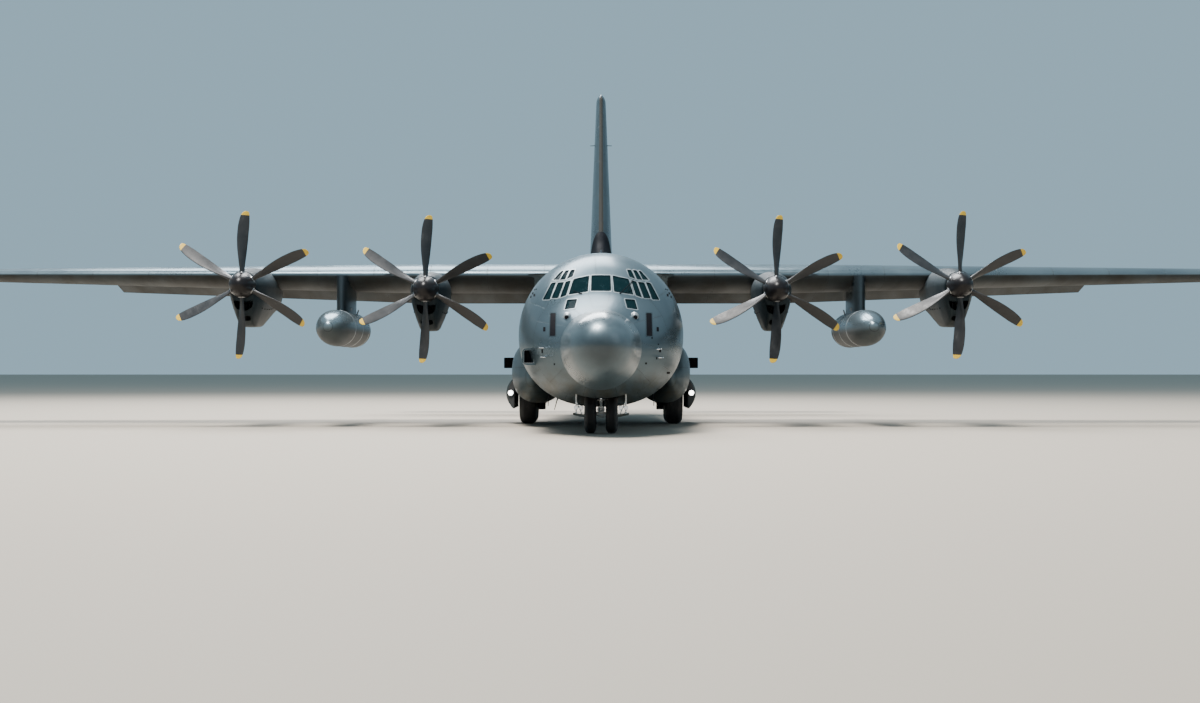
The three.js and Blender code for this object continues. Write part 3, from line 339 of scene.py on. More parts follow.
# %% Plain finishes with wear
def worn_finish(name, colour, rough, metallic=0.0, wear=(0.5, 0.5, 0.5), amount=0.25, scale=6.0, bump=0.0004,
                extra=None, second=None):
    """A coloured surface with blotches, fine scratches and worn or dusty patches."""
    board = Board(name)
    blotch = board.noise(scale, detail=6)
    scratch = board.noise(scale * 9, stretch=(1, 1, 7), detail=3)
    fine = board.noise(scale * 30, detail=2)
    dark = tuple(c * 0.8 for c in colour)
    light = tuple(min(1.0, c * 1.18) for c in colour)
    base = board.mix(dark, light, blotch.fade(0.3, 0.7))
    patch = blotch.fade(0.52, 0.75) * scratch.fade(0.45, 0.7) * amount
    base = board.mix(base, wear, patch)
    if second:
        base = board.mix(base, second[0], second[1](board))
    gloss = rough + blotch.fade(0.3, 0.7, -0.06, 0.08) + scratch.fade(0.4, 0.7, 0.0, 0.06)
    constants = {"Metallic": metallic, **(extra or {})}
    return board.shine(constants, {"Base Color": base, "Roughness": gloss}, [(fine * bump, 0.6)])


def radome_horizon_reflection(board):
    """A dark patch low on the radome's front: a painted reflection of the dark horizon."""
    _, x, _, z = board.place()
    off_x, off_z = x * 0.7, z - 1.03
    return (off_x * off_x + off_z * off_z).math("SQRT").fade(0.32, 0.05) * 0.85


# The radome's second, darker colour is a painted reflection low on its front.
gloss_radome = worn_finish("satin_radome", (0.095, 0.132, 0.153), 0.32, metallic=0.62, wear=(0.08, 0.1, 0.11),
                           amount=0.1, scale=2.5, bump=0.00015,
                            extra={"Coat Weight": 0.4, "Coat Roughness": 0.14},
                           second=((0.022, 0.032, 0.038), radome_horizon_reflection))
rubber_black = worn_finish("black_rubber", (0.02, 0.02, 0.021), 0.7, wear=(0.16, 0.15, 0.13), amount=0.35)
matt_black = worn_finish("matt_black", (0.007, 0.007, 0.009), 0.65, wear=(0.05, 0.05, 0.05), amount=0.25,
                         extra={"Specular IOR Level": 0.03})
silver_trim = worn_finish("silver_trim", (0.42, 0.45, 0.47), 0.32, metallic=0.6, wear=(0.2, 0.2, 0.2), scale=9)
bare_steel = worn_finish("bare_steel", (0.5, 0.51, 0.52), 0.3, metallic=0.95, wear=(0.12, 0.1, 0.08), scale=9)
chrome = worn_finish("polished_chrome", (0.82, 0.83, 0.85), 0.1, metallic=1.0, wear=(0.3, 0.3, 0.3), amount=0.1,
                     bump=0.00005)
white_gear = worn_finish("white_gear_paint", (0.66, 0.67, 0.66), 0.4, wear=(0.2, 0.17, 0.13), amount=0.5,
                         scale=8)
lining_grey = worn_finish("lining_grey", (0.17, 0.19, 0.18), 0.7, wear=(0.08, 0.08, 0.08), amount=0.4, scale=3)
floor_metal = worn_finish("worn_floor", (0.24, 0.245, 0.25), 0.45, metallic=0.7, wear=(0.07, 0.06, 0.05),
                          amount=0.7, scale=3)
dark_bay = worn_finish("dark_bay", (0.035, 0.037, 0.038), 0.65, wear=(0.1, 0.09, 0.08), amount=0.4, scale=5)
hot_metal = worn_finish("heated_metal", (0.13, 0.1, 0.08), 0.4, metallic=0.85, wear=(0.04, 0.035, 0.03),
                        amount=0.8, scale=7)
print("finishes ready")

# %% [markdown]
# Modelling starts with a few tools. A flat grid can be rolled up into any closed skin, when a
# function says where each of its points goes. Outlines are drawn as a filled circle whose corners
# are moved, and then extruded. One solid is cut out of another with the Boolean modifier, which is
# applied at once.


# %% Selecting and reading points
def deselect():
    if bpy.context.object and bpy.context.object.mode != "OBJECT":
        bpy.ops.object.mode_set(mode="OBJECT")
    bpy.ops.object.select_all(action="DESELECT")


def activate(piece):
    deselect()
    piece.select_set(True)
    bpy.context.view_layer.objects.active = piece


def points_of(piece):
    points = np.empty(len(piece.data.vertices) * 3)
    piece.data.vertices.foreach_get("co", points)
    return points.reshape(-1, 3)


def set_points(piece, points):
    piece.data.vertices.foreach_set("co", np.asarray(points, float).ravel())
    piece.data.update()


def edit(piece, *steps):
    """Runs edit-mode operators on the whole of a piece."""
    activate(piece)
    bpy.ops.object.mode_set(mode="EDIT")
    bpy.ops.mesh.select_all(action="SELECT")
    for step in steps:
        step()
    bpy.ops.object.mode_set(mode="OBJECT")
    return piece


def merge_doubles():
    bpy.ops.mesh.remove_doubles(threshold=1e-5)


def face_outwards():
    bpy.ops.mesh.select_all(action="SELECT")
    bpy.ops.mesh.normals_make_consistent(inside=False)


def close_ends():
    bpy.ops.mesh.fill_holes(sides=0)


# %% Rolling a grid into a skin
def rolled(turns, rows, where):
    """A grid rolled into a closed skin. The function where takes each point's share of a turn and
    its row, and returns the points' places."""
    deselect()
    bpy.ops.mesh.primitive_grid_add(x_subdivisions=turns, y_subdivisions=rows, size=2)
    skin = bpy.context.object
    flat = points_of(skin)
    row = np.rint((flat[:, 1] + 1) / 2 * rows).astype(int)
    set_points(skin, where((flat[:, 0] + 1) / 2, row))
    return edit(skin, merge_doubles, close_ends, face_outwards)


def turned_skin(profile, centre, axis="Y", sides=64):
    """A lathe-turned form. The profile's columns are radius and distance along the axis, in
    millimetres, and the centre is [across, station, level]."""
    radius, along = np.array(profile, float).T

    def where(share, row):
        angle = share * 2 * np.pi
        ring = [radius[row] * np.cos(angle), radius[row] * np.sin(angle)]
        if axis == "Y":
            return spot(centre[0] + ring[0], centre[1] + along[row], centre[2] + ring[1])
        if axis == "X":
            return spot(centre[0] + along[row], centre[1] + ring[0], centre[2] + ring[1])
        return spot(centre[0] + ring[0], centre[1] + ring[1], centre[2] + along[row])

    return rolled(sides, len(profile) - 1, where)


# %% Extruded outlines, blocks and bars
def prism(outline, axis, low, high, rounding=0.0, steps=3):
    """An outline pushed along an axis. Its points are [X, level] along Y, [station, level] along X,
    or [X, station] along Z. Its corners can be rounded."""
    places = {
        "Y": lambda u, v, w: (u, w, v),
        "X": lambda u, v, w: (w, u, v),
        "Z": lambda u, v, w: (u, v, w),
    }[axis]
    deselect()
    bpy.ops.mesh.primitive_circle_add(vertices=len(outline), fill_type="NGON")
    shape = bpy.context.object
    set_points(shape, [spot(*places(u, v, low)) for u, v in outline])
    push = spot(*places(0, 0, high)) - spot(*places(0, 0, low))

    def round_corners():
        bpy.ops.mesh.bevel(offset=rounding * UNIT, segments=steps, affect="VERTICES")

    def extrude():
        bpy.ops.mesh.extrude_region_move(TRANSFORM_OT_translate={"value": push})

    return edit(shape, *([round_corners] if rounding else []), extrude, face_outwards)


def block(low, high, rounding=12.0, steps=2):
    """A box between two corners, its edges rounded unless the rounding is 0."""
    deselect()
    bpy.ops.mesh.primitive_cube_add(size=1)
    shape = bpy.context.object
    a, b = spot(*low), spot(*high)
    set_points(shape, (points_of(shape) + 0.5) * (b - a) + a)

    def round_edges():
        bpy.ops.mesh.bevel(offset=rounding * UNIT, segments=steps, affect="EDGES")

    return edit(shape, *([round_edges] if rounding else []), face_outwards)


def bar(start, end, radius, sides=24, end_radius=None, rounding=4.0):
    """A round bar between two places, with softened rims."""
    a, b = spot(*start), spot(*end)
    along = (b - a) / np.linalg.norm(b - a)
    side = np.cross(along, [0, 0, 1] if abs(along[2]) < 0.9 else [1, 0, 0])
    side /= np.linalg.norm(side)
    other = np.cross(along, side)
    soft = min(rounding, radius * 0.4) * UNIT
    last = radius if end_radius is None else end_radius
    length = np.linalg.norm(b - a)
    radii = np.array([0, radius * UNIT - soft, radius * UNIT, last * UNIT, last * UNIT - soft, 0])
    steps = np.array([0, 0, soft, length - soft, length, length])

    def where(share, row):
        angle = share * 2 * np.pi
        ring = np.cos(angle)[:, None] * side + np.sin(angle)[:, None] * other
        return a + steps[row][:, None] * along + radii[row][:, None] * ring

    return rolled(sides, 5, where)


def upright(across, station, low, high, radius, sides=24, **ends):
    """A bar that stands on end."""
    return bar((across, station, low), (across, station, high), radius, sides, **ends)


def crosswise(first, last, station, level, radius, sides=24, **ends):
    """A bar that lies across the aeroplane, as an axle does."""
    return bar((first, station, level), (last, station, level), radius, sides, **ends)


def slab(across, half_width, start, end, low, high, rounding=12.0, steps=2):
    """A block given by its middle line, its stations and its levels."""
    return block((across - half_width, start, low), (across + half_width, end, high), rounding, steps)


# %% Cutting, joining, mirroring
def joined(shapes):
    """Several separate meshes as one object."""
    shapes = list(shapes)
    activate(shapes[0])
    for shape in shapes:
        shape.select_set(True)
    if len(shapes) > 1:
        bpy.ops.object.join()
    return bpy.context.object


def copied(shape):
    twin = shape.copy()
    twin.data = shape.data.copy()
    bpy.context.scene.collection.objects.link(twin)
    return twin


def combined(shape, operation, *tools, solver="MANIFOLD"):
    """Cuts, adds or keeps the common part of closed solids, and uses the tools up."""
    for tool in tools:
        activate(shape)
        modifier = shape.modifiers.new(operation.lower(), "BOOLEAN")
        modifier.operation = operation
        modifier.solver = solver
        modifier.object = tool
        bpy.ops.object.modifier_apply(modifier=modifier.name)
        bpy.data.objects.remove(tool)
    return shape


def cut(shape, *tools, **how):
    return combined(shape, "DIFFERENCE", *tools, **how)


def common(shape, *tools, **how):
    return combined(shape, "INTERSECT", *tools, **how)


def mirrored(shape):
    """A copy on the aeroplane's other side, whose faces are flipped back to point outwards."""
    twin = copied(shape)
    set_points(twin, points_of(twin) * [-1, 1, 1])
    return edit(twin, bpy.ops.mesh.flip_normals)


# %% [markdown]
# A finished piece is named, smoothed where its faces meet at a flat angle, painted, and told which
# moving body of the frame it rides on. If it stands for one of the plain solids, that solid is
# hidden.

# %% Finishing a piece
made = []


def finish(piece, name, material, body="airframe", replaces=(), smooth=32):
    """Names, smooths, paints and hands over a finished piece."""
    activate(piece)
    piece.name = name
    piece.data.name = name
    piece.data.materials.clear()
    piece.data.materials.append(material)
    bpy.ops.object.shade_smooth_by_angle(angle=math.radians(smooth))
    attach(piece, body)
    if replaces:
        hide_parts(*([replaces] if isinstance(replaces, str) else replaces))
    made.append(piece)
    return piece


def finish_pair(piece, stem, material, replaces=None, paired_body=False, smooth=32):
    """Finishes a left piece and its mirror image. The stem names the pieces, as in stem_left."""
    twin = mirrored(piece)
    for side, shape in (("left", piece), ("right", twin)):
        body = f"{stem}_{side}" if paired_body is True else "airframe"
        if isinstance(paired_body, str):
            body = f"{paired_body}_{side}"
        nodes = f"{replaces}_{side}" if replaces else ()
        finish(shape, f"{stem}_{side}", material, body, nodes, smooth)


# %% [markdown]
# The fuselage is a barrel with an elliptical roof and a slightly squarer belly. Its drawing gives a
# few stations only, so a smooth curve is led through each column of the table. The curve never
# overshoots its points, which keeps the straight barrel straight.

# %% The fuselage's lines
# Columns: station, half width, top, bottom, height of the widest line, roundness of the belly.
FUSELAGE = np.array([
    [1300, 985, 3060, 1120, 2150, 2],
    [1800, 1270, 3220, 1000, 2170, 2],
    [2350, 1530, 3500, 900, 2220, 2.05],
    [2900, 1745, 3960, 830, 2290, 2.1],
    [3500, 1920, 4330, 780, 2370, 2.15],
    [4300, 2065, 4560, 720, 2450, 2.2],
    [5380, 2150, 4660, 650, 2510, 2.25],
    [6400, 2160, 4690, 620, 2520, 2.25],
    [17880, 2160, 4690, 620, 2520, 2.25],
    [19500, 2130, 4690, 1070, 2650, 2.25],
    [21200, 2020, 4700, 1650, 2850, 2.25],
    [23000, 1760, 4710, 2330, 3250, 2.2],
    [25000, 1360, 4720, 3050, 3750, 2.1],
    [27000, 880, 4710, 3620, 4120, 2],
    [28800, 480, 4640, 3980, 4310, 2],
    [29600, 250, 4520, 4160, 4340, 2],
    [29790, 110, 4430, 4250, 4340, 2],
])
# The radome's columns: station, half width, top, bottom, middle.
RADOME = np.array([
    [0, 0, 2202, 2198, 2200],
    [60, 290, 2480, 1915, 2200],
    [200, 500, 2680, 1700, 2190],
    [500, 730, 2890, 1440, 2170],
    [900, 870, 3000, 1250, 2150],
    [1300, 985, 3060, 1120, 2150],
])
RADOME_END = 1300
RAMP_HINGE = 17880
RAMP_END = 21200
TAIL_DOOR_END = 24600
WALL = 110
HULL_SIDES = 120


def curve_through(places, values):
    """A smooth curve through a table's points that never overshoots them."""
    gaps = np.diff(places)
    slopes = np.diff(values) / gaps
    both = slopes[:-1] * slopes[1:] > 0
    middle = np.where(both, 2 * slopes[:-1] * slopes[1:] / np.where(both, slopes[:-1] + slopes[1:], 1), 0)
    tangents = np.concatenate([slopes[:1], middle, slopes[-1:]])

    def at(place):
        k = np.clip(np.searchsorted(places, place, side="right") - 1, 0, len(gaps) - 1)
        t = np.clip((place - places[k]) / gaps[k], 0, 1)
        return (
            (1 + 2 * t) * (1 - t) ** 2 * values[k] + t * (1 - t) ** 2 * gaps[k] * tangents[k]
            + t * t * (3 - 2 * t) * values[k + 1] + t * t * (t - 1) * gaps[k] * tangents[k + 1]
        )

    return at


def curves_of(table):
    """A smooth curve for each column of a table, against its first one."""
    return [curve_through(table[:, 0], column) for column in table[:, 1:].T]


def squared_ring(angle, power):
    """Points round a circle that is squarer the smaller the power is."""
    c, s = np.cos(angle), np.sin(angle)
    return np.sign(c) * np.abs(c) ** power, np.sign(s) * np.abs(s) ** power


hull_lines = curves_of(FUSELAGE)


def oval(share, half_width, top, bottom, middle, roundness, inset=0.0):
    """Points round a section, as distances across and up. The lower half may be squarer."""
    angle = share * 2 * np.pi
    across, up = np.cos(angle), np.sin(angle)
    power = 2 / np.where(up >= 0, 2, roundness)
    height = np.where(up >= 0, top - middle, middle - bottom) - inset
    return (
        np.sign(across) * np.abs(across) ** power * (half_width - inset),
        middle + np.sign(up) * np.abs(up) ** power * height,
    )


def skin_across(station, level):
    """How far out the skin is at a station and a height."""
    half_width, top, bottom, middle, roundness = [float(line(station)) for line in hull_lines]
    height, power = (top - middle, 2) if level >= middle else (middle - bottom, roundness)
    return half_width * (1 - abs((level - middle) / height) ** power) ** (1 / power)


def skin_level(station, across, upper=True):
    """How high the skin is at a station and a distance across."""
    half_width, top, bottom, middle, roundness = [float(line(station)) for line in hull_lines]
    if upper:
        return middle + (top - middle) * (1 - (across / half_width) ** 2) ** 0.5
    return middle - (middle - bottom) * (1 - abs(across / half_width) ** roundness) ** (1 / roundness)


print("widest at mid length:", skin_across(9000, 2520), "mm from the middle")

# %% [markdown]
# The radome is the thin shell over the weather radar. It is painted like the rest but much
# smoother, so it carries the brightest highlight. Rows are spaced by the square root of the
# station, because the nose is round at its tip.

# %% Radome
RADOME_ROWS = 30
radome_lines = curves_of(np.column_stack([np.sqrt(RADOME[:, 0]), RADOME[:, 1:]]))


def radome_skin(share, row):
    station = (np.minimum(row, RADOME_ROWS) / RADOME_ROWS) ** 2 * (RADOME_END - 6)
    station = np.where(row > RADOME_ROWS, RADOME_END - 3, station)
    lines = [line(np.sqrt(station)) for line in radome_lines]
    lip = np.where(row > RADOME_ROWS, 9, 0)
    across, level = oval(share, *lines, roundness=2, inset=lip)
    return spot(across, station, level)


radome = rolled(HULL_SIDES, RADOME_ROWS + 1, radome_skin)
finish(radome, "radome", gloss_radome, replaces="radome")
print("radome:", len(radome.data.polygons), "faces")

# %% [markdown]
# The fuselage is one long skin, so that light runs along it without a break. The solid barrel is
# hollowed with a slightly smaller barrel, and everything that opens is then cut through the wall:
# windows, doors, wheel wells and the ramp's doorway. Rows lie close together only where the
# shape bends.

# %% Fuselage barrel
NOSE_WELL = {"half_width": 630, "start": 2320, "end": 4420, "top": 1800, "wall": 60}
MAIN_WELL = {"inner": 1560, "start": 11820, "end": 15060, "top": 1850}
CAVITY = (1410, 28600)

rows = np.concatenate([
    np.arange(RADOME_END, 6400, 75), np.arange(6400, 17800, 700), np.arange(17800, 29700, 190), [29790],
])


def barrel(stations, inset=0.0):
    """A solid length of the fuselage with a ring at each station, taken in by an inset."""

    def where(share, row):
        lines = [line(stations[row]) for line in hull_lines]
        across, level = oval(share, *lines, inset=inset)
        return spot(across, stations[row], level)

    return rolled(HULL_SIDES, len(stations) - 1, where)


inner_rows = np.concatenate([[CAVITY[0]], rows[(rows > CAVITY[0] + 30) & (rows < CAVITY[1] - 30)], [CAVITY[1]]])
fuselage = cut(barrel(rows), barrel(inner_rows, inset=WALL))


def nose_well_box(wall, bottom):
    """The nose wheel's well, grown by a wall."""
    half_width, top = NOSE_WELL["half_width"] + wall, NOSE_WELL["top"] + wall
    return slab(0, half_width, NOSE_WELL["start"] - wall, NOSE_WELL["end"] + wall, bottom, top, 0)


well_box = nose_well_box(NOSE_WELL["wall"], 0)
fuselage = combined(fuselage, "UNION", common(well_box, barrel(rows[rows < 7200])))
print("barrel:", len(fuselage.data.polygons), "faces")

# %% [markdown]
# The windshield is a row of large panes that wraps round the nose, with small ones above and below.
# Each outline is drawn as it looks from the front, and pushed straight back through the skin. A
# pane's frame is a strip that follows the curved skin: the wall between two barrels, cut to a
# slightly larger outline.

# %% Window outlines
# Each pane's corners are [across, level], seen from the front. All but the first are mirrored.
PANES = [
    [[-236, 3955], [236, 3955], [246, 3549], [-246, 3549]],
    [[682, 3864], [291, 3949], [325, 3532], [799, 3462]],
    [[751, 3831], [876, 3801], [1008, 3395], [863, 3443]],
    [[922, 3792], [1074, 3785], [1227, 3380], [1062, 3379]],
    [[1125, 3796], [1241, 3782], [1451, 3355], [1277, 3351]],
    [[652, 4118], [753, 4109], [853, 3878], [711, 3934]],
    [[804, 4111], [893, 4103], [1025, 3860], [898, 3863]],
    [[945, 4101], [1001, 4097], [1193, 3871], [1051, 3862]],
    [[829, 3328], [588, 3340], [637, 3112], [889, 3082]],
]
PANES += [[[-across, level] for across, level in pane] for pane in PANES[1:]]
PANE_GROWTH = 8
FRAME_WIDTH = 14
SEAL_WIDTH = 9


def grown(outline, distance):
    """An outline moved outwards by a distance, or inwards if it is below zero."""
    points = np.array(outline, float)
    edges = np.roll(points, -1, 0) - points
    x, y = points.T
    turning = np.sign(np.sum(x * np.roll(y, -1) - np.roll(x, -1) * y))
    outwards = np.stack([edges[:, 1], -edges[:, 0]], 1) * turning
    outwards /= np.linalg.norm(outwards, axis=1)[:, None]
    moved = points + outwards * distance
    result = []
    for k in range(len(points)):
        before = k - 1
        system = np.array([edges[before], -edges[k]]).T
        share = np.linalg.solve(system, moved[k] - moved[before])[0]
        result.append(moved[before] + share * edges[before])
    return result


def pane_prisms(distance, rounding):
    """Every pane's outline, grown by a distance and pushed back through the skin."""
    return [prism(grown(outline, distance + PANE_GROWTH), "Y", 1500, 4350, rounding) for outline in PANES]


def skin_strip(outer_inset, inner_inset, start=1600, end=4200):
    """The wall between two barrels, near the cockpit."""
    near = rows[(rows > start) & (rows < end)]
    inner = barrel(np.concatenate([[start - 50], near, [end + 50]]), inner_inset)
    return cut(barrel(near, inset=outer_inset), inner)


def kept_in(sheet, shapes):
    """The parts of a sheet that lie inside any of several prisms, as one object."""
    parts = [common(copied(sheet), shape) for shape in shapes]
    bpy.data.objects.remove(sheet)
    return joined(parts)


# %% Window frames, seals and panes
bare_frames = kept_in(skin_strip(-7, 40), pane_prisms(FRAME_WIDTH, 36))
frames = cut(bare_frames, *pane_prisms(0, 24))
frame_grey = worn_finish("window_frame_grey", (0.3, 0.35, 0.375), 0.36, metallic=0.5, wear=(0.15, 0.17, 0.18),
                         scale=9)
finish(frames, "window_frames", frame_grey)

bare_seals = kept_in(skin_strip(6, 46), pane_prisms(2, 25))
seals = cut(bare_seals, *pane_prisms(-SEAL_WIDTH, 16))
finish(seals, "window_seals", rubber_black)


def glass_with_painted_shade_and_sky():
    """Nearly opaque glass, painted almost black as painted shade of the dark cockpit behind it, with a faint
    teal tint that is a painted reflection of the sky.
    """
    board = Board("glass_with_painted_shade_and_sky")
    smear = board.noise(9, detail=5)
    film = smear.fade(0.45, 0.8)
    base = board.mix((0.004, 0.013, 0.016), (0.009, 0.021, 0.025), film)
    return board.shine(
        {"Specular IOR Level": 0.003, "Alpha": 0.96},
        {"Base Color": base, "Roughness": 0.05 + film * 0.05},
    )


panes = kept_in(skin_strip(20, 38), pane_prisms(-SEAL_WIDTH + 5, 18))
finish(panes, "cockpit_windows", glass_with_painted_shade_and_sky(), replaces="cockpit_glazing")
fuselage = cut(fuselage, *pane_prisms(1, 24))
print("window pieces done")

# %% [markdown]
# The doorways go through the side walls, and the ramp's doorway opens the belly under the tail.
# The main wheel wells are boxes let into the lower side walls; their lining is added before the
# well is cut.

# %% Doorways and wells
CREW_DOOR = {"start": 4500, "end": 5280, "bottom": 1090, "top": 2860}
TROOP_DOOR = {"start": 16560, "end": 17480, "bottom": 1060, "top": 2900}
RAMP_HALF_WIDTH = 1520
TAIL_DOOR_HALF_WIDTHS = (1484, 1000)


def side_outline(door, inset):
    """A door's outline in side view, taken in by an inset."""
    a, b = door["start"] + inset, door["end"] - inset
    low, high = door["bottom"] + inset, door["top"] - inset
    return [[a, low], [b, low], [b, high], [a, high]]


ROOF_LINE = [[RAMP_HINGE - 100, 0], [TAIL_DOOR_END + 100, 0], [TAIL_DOOR_END + 100, 3560],
             [RAMP_END, 2330], [RAMP_HINGE - 100, 1450]]


def belly_plan(start, end, half_widths, inset):
    """A doorway in the belly, seen from above, as a tall prism that ends under the hold's roof."""
    front, back = half_widths
    plan = [[front - inset, start + inset], [back - inset, end - inset],
            [inset - back, end - inset], [inset - front, start + inset]]
    return common(prism(plan, "Z", -100, 4000), prism(ROOF_LINE, "X", -2000, 2000))


def with_mirror(shape):
    """A cutter and its twin on the other side."""
    return [shape, mirrored(shape)]


barrel_middle = barrel(np.array([11000.0, 16000.0]))
for lining in with_mirror(block((MAIN_WELL["inner"] - 60, MAIN_WELL["start"] - 100, 650),
                                (2300, MAIN_WELL["end"] + 100, MAIN_WELL["top"] + 100), 0)):
    fuselage = combined(fuselage, "UNION", common(lining, copied(barrel_middle)))
bpy.data.objects.remove(barrel_middle)
main_well = block((MAIN_WELL["inner"], MAIN_WELL["start"], -100), (2400, MAIN_WELL["end"], MAIN_WELL["top"]), 0)
fuselage = cut(
    fuselage, nose_well_box(0, -100), *with_mirror(main_well),
    *with_mirror(prism(side_outline(TROOP_DOOR, 0), "X", 1200, 2400, 110, 4)),
    prism(side_outline(CREW_DOOR, 0), "X", 900, 2400, 70, 4),
    belly_plan(RAMP_HINGE, RAMP_END, (RAMP_HALF_WIDTH, RAMP_HALF_WIDTH), 0),
    belly_plan(RAMP_END - 1, TAIL_DOOR_END, TAIL_DOOR_HALF_WIDTHS, 0),
)
finish(fuselage, "fuselage_skin", hull_paint,
       replaces=("nose_section", "center_fuselage", "aft_fuselage"), smooth=30)
print("fuselage:", len(fuselage.data.polygons), "faces")

# %% [markdown]
# The doors are cut from the same wall as the fuselage, so that they close flush with it. The crew
# door is also a stair: it swings down about hinges on its sill, and its inner face carries steps.

# %% Crew door, side doors, ramp and aft door
GAP = 16
HINGE_CLEARANCE = 16
crew_rows = rows[(rows > 4300) & (rows < 5500)]
inner_crew_rows = np.concatenate([[4250], crew_rows, [5560]])
crew_wall = cut(barrel(crew_rows), barrel(inner_crew_rows, inset=WALL))
# The hinge line runs with the tapering skin, so the foot of the open door comes forward a little.
CREW_LEAF = {**CREW_DOOR, "start": CREW_DOOR["start"] + HINGE_CLEARANCE}
crew_door = common(crew_wall, prism(side_outline(CREW_LEAF, GAP), "X", 900, 2400, 60, 4))
steps = [block((1770, 4640, level), (1960, 5140, level + 34), 8) for level in (1390, 1690, 1990, 2290)]
finish(crew_door, "crew_door", hull_paint, "crew_door", "crew_door", 30)
crew_steps = kept_in(barrel(inner_crew_rows, inset=WALL - 20), steps)
finish(crew_steps, "crew_door_steps", floor_metal, "crew_door")

troop_wall = cut(barrel(np.array([16400.0, 17600.0])), barrel(np.array([16380.0, 17620.0]), inset=WALL))
troop_door = common(troop_wall, prism(side_outline(TROOP_DOOR, 6), "X", 1200, 2400, 106, 4))
finish_pair(troop_door, "paratroop_door", hull_paint, "paratroop_door", smooth=30)
print("doors done")

# %% [markdown]
# The ramp closes the belly. Its upper face slopes up, and its front edge is rounded about the hinge,
# so that it turns down without touching the floor. The door behind it swings up into the tail.

# %% Cargo ramp and aft door
RAMP_AXIS = {"station": RAMP_HINGE + 170, "level": 760}
RAMP_NOSE = 140
RAMP_SLOPE = 155
FLOOR_TOP = 1030
RAMP_TOP_END = 1960

nose_arc = [
    [RAMP_AXIS["station"] + RAMP_NOSE * math.cos(math.radians(a)),
     RAMP_AXIS["level"] + RAMP_NOSE * math.sin(math.radians(a))]
    for a in range(270, 179, -10)
]
ramp_side = [
    [RAMP_AXIS["station"], 0], *nose_arc,
    [RAMP_AXIS["station"] - RAMP_NOSE, FLOOR_TOP],
    [RAMP_END - GAP - RAMP_SLOPE, RAMP_TOP_END],
    [RAMP_END - GAP, 1640],
    [RAMP_END - GAP, 0],
]
tail_rows = np.concatenate([[17700], np.arange(17800, 24900, 190)])
ramp = common(prism(ramp_side, "X", -RAMP_HALF_WIDTH + GAP, RAMP_HALF_WIDTH - GAP), barrel(tail_rows))
LUG_ACROSS = 600
for across in (-LUG_ACROSS, LUG_ACROSS):
    ramp = cut(ramp, slab(across, 66, RAMP_HINGE, RAMP_AXIS["station"] + 96, 0, 1200, 0))


def ramp_top(station):
    start, end = RAMP_AXIS["station"] - RAMP_NOSE, RAMP_END - GAP - RAMP_SLOPE
    return FLOOR_TOP + (RAMP_TOP_END - FLOOR_TOP) * (station - start) / (end - start)


finish(ramp, "cargo_ramp", hull_paint, "cargo_ramp", "cargo_ramp", 30)
TREAD_SPACING = 180
treads = []
for station in np.arange(RAMP_HINGE + 320, RAMP_END - 260, TREAD_SPACING):
    low, high = ramp_top(station), ramp_top(station + 26)
    outline = [[station, low - 12], [station + 30, high - 8], [station + 26, high + 9], [station + 2, low + 11]]
    treads.append(prism(outline, "X", -1330, 1330))
finish(joined(treads), "ramp_treads", floor_metal, "cargo_ramp")

door_wall = cut(barrel(tail_rows), barrel(np.concatenate([[17650], tail_rows, [24960]]), inset=WALL))
aft_door = common(door_wall, belly_plan(RAMP_END, TAIL_DOOR_END - 46 + GAP, TAIL_DOOR_HALF_WIDTHS, GAP))
aft_ribs = []
door_inside = barrel(tail_rows, inset=WALL - 8)
inside_top = barrel(tail_rows, inset=WALL + 62)
front_width, back_width = TAIL_DOOR_HALF_WIDTHS
for station in np.arange(RAMP_END + 260, TAIL_DOOR_END - 300, 420):
    share = (station - RAMP_END) / (TAIL_DOOR_END - RAMP_END)
    width = front_width + (back_width - front_width) * share - 70
    level = float(hull_lines[2](station))
    rib = slab(0, width, station, station + 50, level, level + 760, 0)
    aft_ribs.append(cut(common(rib, copied(door_inside)), copied(inside_top)))
bpy.data.objects.remove(door_inside)
bpy.data.objects.remove(inside_top)
finish(aft_door, "aft_cargo_door", hull_paint, "aft_cargo_door", "aft_cargo_door", 30)
finish(joined(aft_ribs), "aft_door_ribs", lining_grey, "aft_cargo_door")
print("ramp and aft door done")

# %% [markdown]
# A wing section is a standard thickness curve bent over a slightly arched middle line. The wing is
# ruled: straight lines join the same point of the root's and the tip's section. Its real tip
# is rounded, so the last rows of the skin shrink towards a crease.

# %% Lifting sections
EDGE_SHARE = 0.003
WING_SIDES = 96
CENTRE_SPAN = 5588
SECTIONS = {
    # span, quarter-chord station, level or sideways place, chord, twist, thickness, camber
    "wing_root": (CENTRE_SPAN, 12520, 4310, 4880, 3.0, 0.165, 0.010),
    "wing_tip": (20205, 12520, 4420, 2480, 0.6, 0.125, 0.012),
    "tail_root": (0, 24960, 4850, 4250, 0, 0.125, 0),
    "tail_tip": (8025, 25500, 4850, 1980, 0, 0.11, 0),
    "fin_root": (4560, 24670, 0, 5660, 0, 0.155, 0),
    "fin_end": (11840, 27100, 0, 2200, 0, 0.15, 0),
}
PANELS = {"wing": ("wing_root", "wing_tip"), "tail": ("tail_root", "tail_tip"), "fin": ("fin_root", "fin_end")}


def half_thickness(u, thick):
    curve = 0.2969 * np.sqrt(u) - 0.126 * u - 0.3516 * u ** 2 + 0.2843 * u ** 3 - 0.1036 * u ** 4
    return 5 * thick * curve + EDGE_SHARE * u


def camber_at(u, camber):
    return 4 * camber * u * (1 - u)


